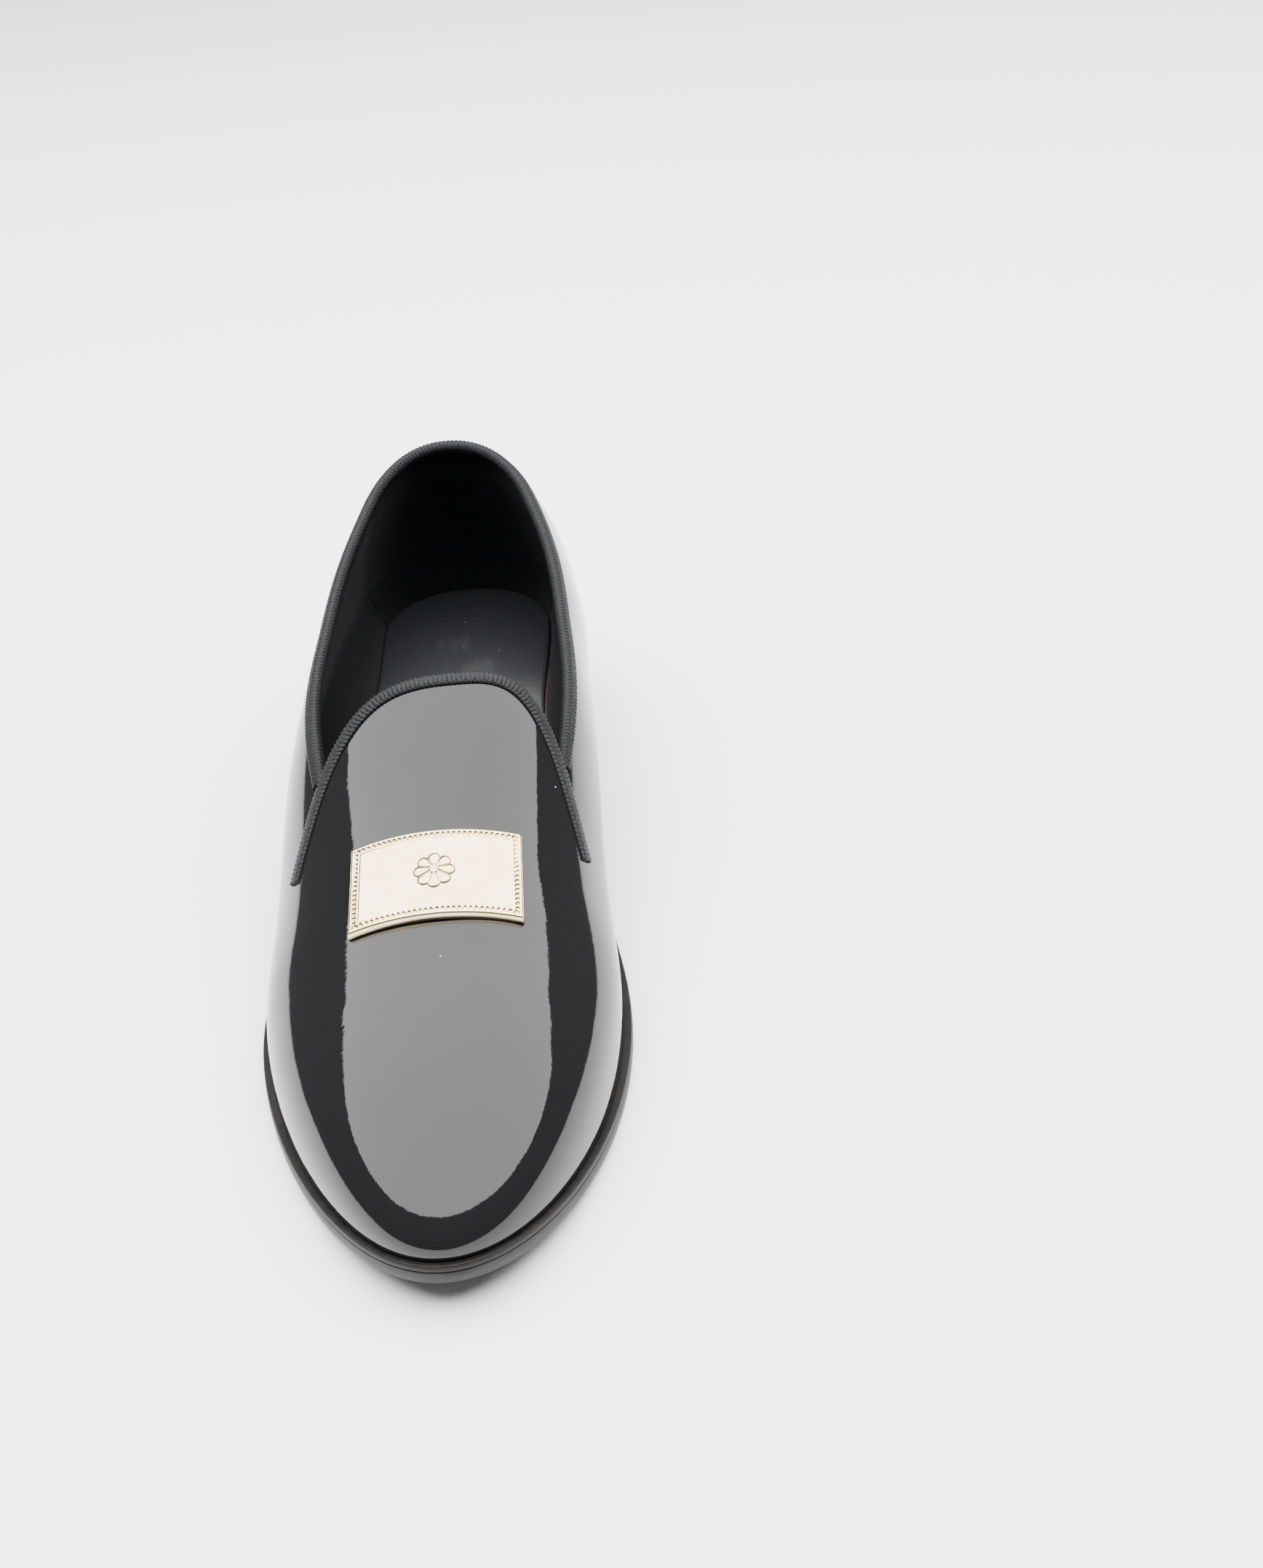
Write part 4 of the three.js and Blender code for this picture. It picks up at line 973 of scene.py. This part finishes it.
def rounded_edge(low, high, top_round, bottom_round, belly=0.0, steps=6):
    rows = [(top_round * (1 - np.sin(a)), high - top_round * (1 - np.cos(a)))
            for a in np.linspace(0, np.pi / 2, steps)]
    middle = [(belly * -np.sin(t * np.pi), high - top_round + t * (low + bottom_round - high + top_round))
              for t in (0.25, 0.5, 0.75)]
    rows += middle
    rows += [(bottom_round * (1 - np.cos(a)), low + bottom_round * (1 - np.sin(a)))
             for a in np.linspace(0, np.pi / 2, steps)]
    return rows


sole_finish, tree, shader = finish("polished sole leather", (0.006, 0.006, 0.007), 0.3,
                                   Specular_IOR_Level=0.3)
skin = place_group(tree, leather_skin, Pore_Scale=420.0, Pull_Scale=60.0, Speck_Amount=0.25)
dust = place_group(tree, rubbed_dust, Streak_Scale=160.0, Patch_Scale=40.0, Amount=0.2)
place = tree.nodes.new("ShaderNodeNewGeometry")
split = tree.nodes.new("ShaderNodeSeparateXYZ")
tree.links.new(place.outputs["Normal"], split.inputs["Vector"])
edge_mask = maths(tree, "GREATER_THAN", split.outputs["Z"], -0.6)
grain = place_group(tree, level_fibre, Streaks=1500.0, Blotches=90.0)
rubbed = maths(tree, "MULTIPLY", edge_mask, maths(tree, "MULTIPLY", maths(
    tree, "SUBTRACT", grain.outputs["Tone"], 0.42), 5.0, clamp=True))
tint(tree, shader, rubbed, (0.005, 0.005, 0.006), (0.02, 0.019, 0.02), 0.0, 1.0)
spread(tree, shader, edge_mask, 0.2, 0.5)
peel = relief(tree, shader, skin.outputs["Pores"], 0.00006, 0.7)
relief(tree, shader, grain.outputs["Height"], 0.00004, 0.5, peel)

groove = 0.12
outsole = sole_layer("outsole slab", rounded_edge(0.0, outsole_thick + groove / 2, 0.45, 1.0, 0.15),
                     (0.0, 0.25, 0.5, 0.7, 0.85, 0.95))
fitted(outsole, sole_finish, "sole_leather", "outsole")

edge_finish, tree, shader = finish("waxed midsole edge", (0.005, 0.005, 0.005), 0.5, Specular_IOR_Level=0.2)
grain = place_group(tree, level_fibre, Streaks=1700.0, Blotches=70.0)
tint(tree, shader, grain.outputs["Tone"], (0.004, 0.004, 0.004), (0.014, 0.012, 0.011), 0.4, 0.75)
spread(tree, shader, grain.outputs["Tone"], 0.35, 0.65)
relief(tree, shader, grain.outputs["Height"], 0.00006)
midsole = sole_layer(
    "midsole slab",
    rounded_edge(outsole_thick + groove, feather_level - 0.06, 0.6, 0.4, 0.1),
    (0.0, 0.4, 0.8, 0.93))
fitted(midsole, edge_finish, "sole_edge_leather", "midsole")


# ------------------------------------------------------------------ heel pad and sock lining
# A latex pad softens the seat. Over it and the insole board lies a smooth black sock of
# calf, glued down and a little dusty.

pad_thick = 2.0
pad_front = 62.0
sock_thick = 1.2

foam_finish, tree, shader = finish("latex foam", (0.62, 0.58, 0.46), 0.95)
place = tree.nodes.new("ShaderNodeTexCoord")
cells = tree.nodes.new("ShaderNodeTexVoronoi")
cells.inputs["Scale"].default_value = 900
tree.links.new(place.outputs["Object"], cells.inputs["Vector"])
tint(tree, shader, cells.outputs["Distance"], (0.4, 0.36, 0.27), (0.7, 0.66, 0.54), 0.1, 0.7)
relief(tree, shader, cells.outputs["Distance"], 0.0003)


def inside_reach(s, side, low, high, depth):
    """How far out the lining's inner face is, at its narrower end between two levels."""
    ribs = Ribs(s, side)
    reaches = []
    for height in (low, (low + high) / 2, high):
        point = last_point(s, side, lift_at(s, side, over_sole(height), depth), depth)
        flat = np.stack([point[..., 0], shoe_length / 2 - point[..., 1]], -1)
        reaches.append(np.linalg.norm(flat - ribs.start, axis=-1))
    return np.min(reaches, axis=0)


def pad_rise(station):
    return (pad_thick + gap) * (1 - ease((station - pad_front) / (breast_station + 30 - pad_front)))


def sock_low(station):
    return sole_bottom(station) + board_top + gap + pad_rise(station)


def inner_slab(stations, reach_of, low, high, shares):
    patches = []
    for side in (1, -1):
        ribs = Ribs(stations, side)
        reach = reach_of(stations, side)
        front, back = [], []
        for share, drop in shares:
            plan = ribs.plan(reach * share)
            flat = np.stack([plan[:, 0], shoe_length / 2 - plan[:, 1]], -1)
            front.append(np.column_stack([flat, high(plan[:, 1]) - drop]))
            back.append(np.column_stack([flat, low(plan[:, 1])]))
        patches.append((flipped(np.array(front), side), flipped(np.array(back), side)))
    return patches


sock_top = board_top + pad_thick + 2 * gap + sock_thick
sock_reach = lambda s, side: inside_reach(
    s, side, board_top, sock_top + gap, lining_depth + lining_thick + 0.15)
sock_shares = [(1.0, 0.5), (0.99, 0.18), (0.975, 0.03), (0.94, 0.0), (0.85, 0.0), (0.7, 0.0),
               (0.5, 0.0), (0.3, 0.0), (0.15, 0.0), (0.0, 0.0)]
pad_shares = [(1.0, 1.2), (0.98, 0.5), (0.94, 0.1), (0.85, 0.0), (0.5, 0.0), (0.0, 0.0)]

pad_stations = sole_stations[sole_stations <= pad_front]
pad = closed_sheet("heel pad", inner_slab(
    pad_stations, lambda s, side: sock_reach(s, side) - 5.0,
    over_sole(board_top + gap), over_sole(board_top + gap + pad_thick), pad_shares))
fitted(pad, foam_finish, "latex_foam", "heel_pad")

sock_finish, tree, shader = finish("smooth black sock", (0.012, 0.012, 0.014), 0.42,
                                   Coat_Weight=0.1, Coat_Roughness=0.3)
skin = place_group(tree, leather_skin, Pore_Scale=900.0, Pull_Scale=60.0, Speck_Amount=0.5)
dust = place_group(tree, rubbed_dust, Streak_Scale=70.0, Patch_Scale=35.0, Amount=0.35)
film = maths(tree, "MULTIPLY", dust.outputs["Dust"], 0.05)
soiled = maths(tree, "ADD", film, skin.outputs["Specks"], clamp=True)
tint(tree, shader, soiled, (0.009, 0.009, 0.011), (0.2, 0.19, 0.18), 0.0, 1.0)
spread(tree, shader, dust.outputs["Dust"], 0.36, 0.6)
relief(tree, shader, skin.outputs["Pores"], 0.00007)
sock = closed_sheet("sock lining", inner_slab(
    sole_stations, sock_reach, sock_low, lambda station: sock_low(station) + sock_thick, sock_shares))
fitted(sock, sock_finish, "sock_leather", "sock_lining")


# ------------------------------------------------------------------ stacked heel
# Three lifts of brown-black leather, glued and brushed at the edge. Brass nails run down
# into them from the insole board. The breast at the front is hollowed a little.

top_piece_thick = 6.0
lift_count = 3
lift_taper = 0.5
breast_hollow = 4.0
hairline = 0.06


def heel_outline(inset, count=44):
    """The heel's outline at one inset, as a closed ring of plan points."""
    front = breast_station - 1
    t = np.linspace(0, 1, count)
    s = inset + (front - inset) * (1 - np.cos(t * np.pi / 2))
    back = np.clip((heel_station - s) / (heel_station - inset), 0, 1)
    rounded = (heel_width / 2 - inset) * (1 - back ** heel_squareness) ** (1 / heel_squareness)
    half = np.where(s < heel_station, rounded, sole_half_width(s) - inset)
    right = np.column_stack([sole_centre(s) + half, shoe_length / 2 - s])
    left = np.column_stack([sole_centre(s) - half, shoe_length / 2 - s])[::-1]
    middle = np.array([(right[-1, 0] + left[0, 0]) / 2, shoe_length / 2 - (front - breast_hollow)])
    u = np.linspace(0, 1, 24)[1:-1, None]
    breast = (1 - u) ** 2 * right[-1] + 2 * u * (1 - u) * middle + u ** 2 * left[0]
    return np.concatenate([right, breast, left[:-1]])


def heel_layer(name, inset, low, high, bevel):
    """A lift with softly rounded edges."""
    rings = [(bevel, high), (bevel * 0.35, high - bevel * 0.3), (0, high - bevel),
             (0, low + bevel), (bevel * 0.35, low + bevel * 0.3), (bevel, low)]
    vertices = [np.column_stack([heel_outline(inset + more), np.full(len(heel_outline(inset)), z)])
                for more, z in rings]
    size = len(vertices[0])
    ids = np.arange(size * len(rings)).reshape(len(rings), size)
    turned = np.roll(ids, -1, axis=1)
    faces = np.stack([ids[:-1], turned[:-1], turned[1:], ids[1:]], -1).reshape(-1, 4).tolist()
    faces += [ids[0].tolist(), ids[-1].tolist()[::-1]]
    mesh = bpy.data.meshes.new(name)
    mesh.from_pydata(placed(np.vstack(vertices)).tolist(), [], faces)
    return shown(name, mesh, 50)


lift_finish, tree, shader = finish("brushed heel leather", (0.03, 0.024, 0.02), 0.5,
                                   Coat_Weight=0.15, Coat_Roughness=0.35)
grain = place_group(tree, level_fibre, Streaks=1300.0, Blotches=60.0)
tint(tree, shader, grain.outputs["Tone"], (0.012, 0.0095, 0.008), (0.06, 0.05, 0.043), 0.35, 0.7)
spread(tree, shader, grain.outputs["Tone"], 0.38, 0.62)
relief(tree, shader, grain.outputs["Height"], 0.00009)

lift_thick = (heel_height - top_piece_thick) / lift_count
for i in range(lift_count):
    low = top_piece_thick + i * lift_thick + hairline
    high = top_piece_thick + (i + 1) * lift_thick - hairline
    inset = 0.5 + (lift_count - 1 - i) * lift_taper
    piece = heel_layer(f"heel lift {i + 1}", inset, low, high, 0.16)
    fitted(piece, lift_finish, "heel_leather", f"heel_lift_{i + 1}")

brass_finish, tree, shader = finish("brass", (0.5, 0.34, 0.11), 0.35, 1.0)
place = tree.nodes.new("ShaderNodeTexCoord")
tarnish = noise(tree, place.outputs["Object"], 500, 4)
tint(tree, shader, tarnish, (0.35, 0.22, 0.07), (0.6, 0.43, 0.17))
spread(tree, shader, tarnish, 0.25, 0.5)
for i in range(5):
    dress_node(f"heel_nail_{i + 1}", brass_finish)


# ------------------------------------------------------------------ top piece
# The layer that meets the ground: matte black rubber at the back and outer side, and a
# wedge of dyed leather at the front and inner side, meeting on a slanted seam.

seam_medial = 20.0
seam_lateral = 44.0
seam_gap = 0.15


def clipped(ring, sign, inset):
    """The part of a ring of plan points on one side of the slanted seam."""
    slope = (seam_lateral - seam_medial) / heel_width
    over = lambda p: sign * (p[1] - (shoe_length / 2 - seam_medial - (heel_width / 2 - p[0]) * slope)) - inset
    kept = []
    for a, b in zip(ring, np.roll(ring, -1, axis=0)):
        if over(a) >= 0:
            kept.append(a)
        if (over(a) >= 0) != (over(b) >= 0):
            t = over(a) / (over(a) - over(b))
            kept.append(a + (b - a) * t)
    return np.array(kept)


def even_ring(ring, start, count=160):
    """A closed ring resampled evenly, starting at its point nearest to start."""
    ring = np.roll(ring, -int(np.argmin(np.linalg.norm(ring - start, axis=1))), axis=0)
    ring = np.vstack([ring, ring[:1]])
    distance = np.concatenate([[0], np.cumsum(np.linalg.norm(np.diff(ring, axis=0), axis=1))])
    at = np.linspace(0, distance[-1], count + 1)[:-1]
    return np.column_stack([np.interp(at, distance, ring[:, k]) for k in range(2)])


def top_piece(name, sign, material, slot, node):
    inset = 0.5 + lift_count * lift_taper
    high = top_piece_thick - hairline
    rings = [(0.2, high), (0.06, high - 0.06), (0, high - 0.2), (0, 0.35), (0.12, 0.1), (0.4, 0.0)]
    start = clipped(heel_outline(inset), sign, seam_gap)[0]
    vertices = []
    for more, z in rings:
        ring = even_ring(clipped(heel_outline(inset + more), sign, seam_gap + more), start)
        vertices.append(np.column_stack([ring, np.full(len(ring), z)]))
    size = len(vertices[0])
    ids = np.arange(size * len(rings)).reshape(len(rings), size)
    turned = np.roll(ids, -1, axis=1)
    faces = np.stack([ids[:-1], turned[:-1], turned[1:], ids[1:]], -1).reshape(-1, 4).tolist()
    faces += [ids[0].tolist(), ids[-1].tolist()[::-1]]
    mesh = bpy.data.meshes.new(name)
    mesh.from_pydata(placed(np.vstack(vertices)).tolist(), [], faces)
    return fitted(shown(name, mesh, 50), material, slot, node)


rubber_finish, tree, shader = finish("matte black rubber", (0.02, 0.02, 0.022), 0.8)
skin = place_group(tree, leather_skin, Pore_Scale=1600.0, Pull_Scale=100.0, Speck_Amount=0.4)
tint(tree, shader, skin.outputs["Pull"], (0.015, 0.015, 0.017), (0.032, 0.032, 0.034))
relief(tree, shader, skin.outputs["Pores"], 0.00012)
top_piece("top piece rubber", 1, rubber_finish, "heel_rubber", "top_piece_rubber")

wedge_finish, tree, shader = finish("dyed top-piece leather", (0.009, 0.009, 0.012), 0.55)
skin = place_group(tree, leather_skin, Pore_Scale=800.0, Pull_Scale=60.0, Speck_Amount=0.3)
tint(tree, shader, skin.outputs["Pores"], (0.006, 0.006, 0.008), (0.022, 0.021, 0.027))
spread(tree, shader, skin.outputs["Pores"], 0.4, 0.7)
relief(tree, shader, skin.outputs["Pores"], 0.00025)
top_piece("top piece leather", -1, wedge_finish, "top_piece_leather", "top_piece_leather")


# ------------------------------------------------------------------ vamp plate
# A gilt metal plate, bent to the vamp, with a beaded border in a sunk channel. Two studs
# under it pass through the leather into a backing plate.

plate_width = 46.0
plate_length = 27.0
plate_thick = 2.2
plate_station = 198.0
plate_shift = -3.5
bead_pitch = 1.45

plate_x = float(ridge_swing(plate_station)) + plate_shift
upper_tree = BVHTree.FromPolygons([v.co for v in upper.data.vertices],
                                  [p.vertices for p in upper.data.polygons])


def vamp_height(x, station):
    """Height of the vamp's outer face above a place in plan, in millimetres."""
    spot = placed([x, shoe_length / 2 - station, 150.0])
    hit = upper_tree.ray_cast(Vector(spot), Vector((0, 0, -1)))
    return hit[0].z / MM


def plate_arch():
    sample = lambda x, ahead: vamp_height(plate_x + x, plate_station + ahead)
    middle = sample(0, 0)
    ends = sample(-plate_width / 2, 0), sample(plate_width / 2, 0)
    sag = middle - sum(ends) / 2
    lean = (ends[1] - ends[0]) / plate_width
    pitch = (sample(0, plate_length / 2) - sample(0, -plate_length / 2)) / plate_length
    radius = (plate_width ** 2 / 4 + sag ** 2) / (2 * sag)
    arch = lambda x, ahead: middle - radius + np.sqrt(radius ** 2 - x ** 2) + lean * x + pitch * ahead
    spots = [(x, y) for x in np.linspace(-0.5, 0.5, 9) * plate_width
             for y in np.linspace(-0.5, 0.5, 5) * plate_length]
    lifted = max(sample(x, y) - arch(x, y) for x, y in spots)
    return lambda x, ahead: arch(x, ahead) + lifted + 0.1


plate_under = plate_arch()


def border(x, y):
    """Relief of the plate's face: a rolled rim, a beaded channel and a fine inner line."""
    to_side = plate_width / 2 - np.abs(x)
    to_end = plate_length / 2 - np.abs(y)
    inward = np.minimum(to_side, to_end)
    run = np.where(to_side < to_end, y, x)
    rim = -0.35 * np.clip(1 - inward / 0.4, 0, 1) ** 2
    channel = ease((inward - 0.85) / 0.2) * ease((2.05 - inward) / 0.2)
    bead = np.clip(1.6 * np.cos(2 * np.pi * run / bead_pitch), 0, 1) ** 0.6
    line = np.exp(-((inward - 2.5) / 0.14) ** 2)
    return rim - channel * 0.42 * (1 - bead * 0.9) - 0.14 * line


def fine(half, step=0.22, edge=3.2, coarse=1.0):
    """Places across the plate, close together near its edges and wider in the middle."""
    near = np.arange(0, edge, step)
    middle = np.linspace(-(half - edge), half - edge, int(2 * (half - edge) / coarse) + 1)
    return np.concatenate([-half + near, middle, (half - near)[::-1]])


columns = fine(plate_width / 2, coarse=0.24)
lines = fine(plate_length / 2, coarse=0.24)
grid_x, grid_y = np.meshgrid(columns, lines)
under = plate_under(grid_x, grid_y)
face_z = under + plate_thick + border(grid_x, grid_y)
flat = [plate_x + grid_x, shoe_length / 2 - plate_station - grid_y]
plate = closed_sheet("vamp plate", [(np.stack([*flat, face_z], -1), np.stack([*flat, under], -1))])

gilt_finish, tree, shader = finish("polished pale gilt", (0.9, 0.72, 0.4), 0.08, 1.0)
place = tree.nodes.new("ShaderNodeTexCoord")
handled = noise(tree, place.outputs["Object"], 180, 5, 0.6)
tint(tree, shader, handled, (0.82, 0.64, 0.34), (0.95, 0.79, 0.5), 0.3, 0.7)
scratches = noise(tree, stretched(tree, place.outputs["Object"], 0.15, 1, 1), 2500, 2)
spread(tree, shader, scratches, 0.05, 0.13)
relief(tree, shader, scratches, 0.000006, 0.5)
fitted(plate, gilt_finish, "gilt_plate", "ornament_plate")


# ------------------------------------------------------------------ rosette, studs and backing
# A plain eight-petal rosette is soldered to the middle of the plate. The brass studs and
# the backing plate are out of sight, under the plate and behind the leather.

rosette_radius = 5.6
rosette_thick = 0.8
petals = 8

turns = np.linspace(0, 2 * np.pi, 193)
radii = np.linspace(0, 1, 34)[:, None]
outline = rosette_radius * (0.8 + 0.2 * np.abs(np.cos(petals * turns / 2)) ** 0.7)[None]
reach = radii * outline
vein = np.abs(np.cos(petals * turns / 2))[None]
dome = (1 - radii ** 6) ** 0.5 * rosette_thick * (0.45 + 0.55 * vein ** 0.6 * ease(radii / 0.35))
heart = 0.55 * np.sqrt(np.clip(1 - (reach / 1.5) ** 2, 0, 1))
rosette_x = reach * np.cos(turns)
rosette_y = reach * np.sin(turns)
base_z = plate_under(rosette_x, rosette_y) + plate_thick
flat = [plate_x + rosette_x, shoe_length / 2 - plate_station - rosette_y]
rosette = closed_sheet("rosette", [(np.stack([*flat, base_z + 0.02 + dome + heart], -1),
                                    np.stack([*flat, base_z - 0.1], -1))])
fitted(rosette, gilt_finish, "gilt_plate", "ornament_rosette")
for node in ("ornament_stud_medial", "ornament_stud_lateral", "ornament_backing"):
    dress_node(node, brass_finish)


# ------------------------------------------------------------------ studio
# A plain pale floor, a broad round softbox over the shoe and even light from all round.
# A second lamp, high above, brightens the floor and leaves no mark in the glossy leather.

floor_finish, tree, shader = finish("pale studio floor", (0.95, 0.95, 0.95), 0.6)
floor_mesh = bpy.data.meshes.new("floor")
reach = 4.0
floor_mesh.from_pydata([(-reach, -reach, 0), (reach, -reach, 0), (reach, reach, 0), (-reach, reach, 0)],
                       [], [(0, 1, 2, 3)])
floor = bpy.data.objects.new("floor", floor_mesh)
floor_mesh.materials.append(floor_finish)
bpy.context.scene.collection.objects.link(floor)


def softbox(name, place, aim, width, length, watts):
    lamp = bpy.data.lights.new(name, "AREA")
    lamp.shape = "ELLIPSE"
    lamp.size = width
    lamp.size_y = length
    lamp.energy = watts
    box = bpy.data.objects.new(name, lamp)
    box.location = place
    box.rotation_euler = (Vector(aim) - Vector(place)).to_track_quat("-Z", "Y").to_euler()
    bpy.context.scene.collection.objects.link(box)
    return box


softbox("overhead softbox", (0.05, 0.2, 1.0), (0.05, 0.2, 0.0), 3.1, 1.5, 84)
floor_lamp = softbox("floor light", (0.0, 0.0, 2.2), (0.0, 0.0, 0.0), 3.0, 3.0, 105)
floor_lamp.visible_glossy = False

world = bpy.data.worlds.new("studio")
world.use_nodes = True
world.node_tree.nodes["Background"].inputs["Color"].default_value = (1.0, 1.0, 1.0, 1)
world.node_tree.nodes["Background"].inputs["Strength"].default_value = 0.26
bpy.context.scene.world = world

camera_place = placed([51.03, -469.38, 360.43])
right = Vector((0.996974, -0.0435395, -0.0643916))
upward = Vector((0.0777301, 0.557749, 0.826362))
backward = right.cross(upward)
lens = bpy.data.cameras.new("camera")
lens.sensor_fit = "HORIZONTAL"
lens.sensor_width = 36.0
lens.lens = 36.0 * 2728 / 1736
camera = bpy.data.objects.new("camera", lens)
turn = Matrix((right, upward, backward)).transposed().to_4x4()
camera.matrix_world = Matrix.Translation(Vector(camera_place)) @ turn
bpy.context.scene.collection.objects.link(camera)
bpy.context.scene.camera = camera
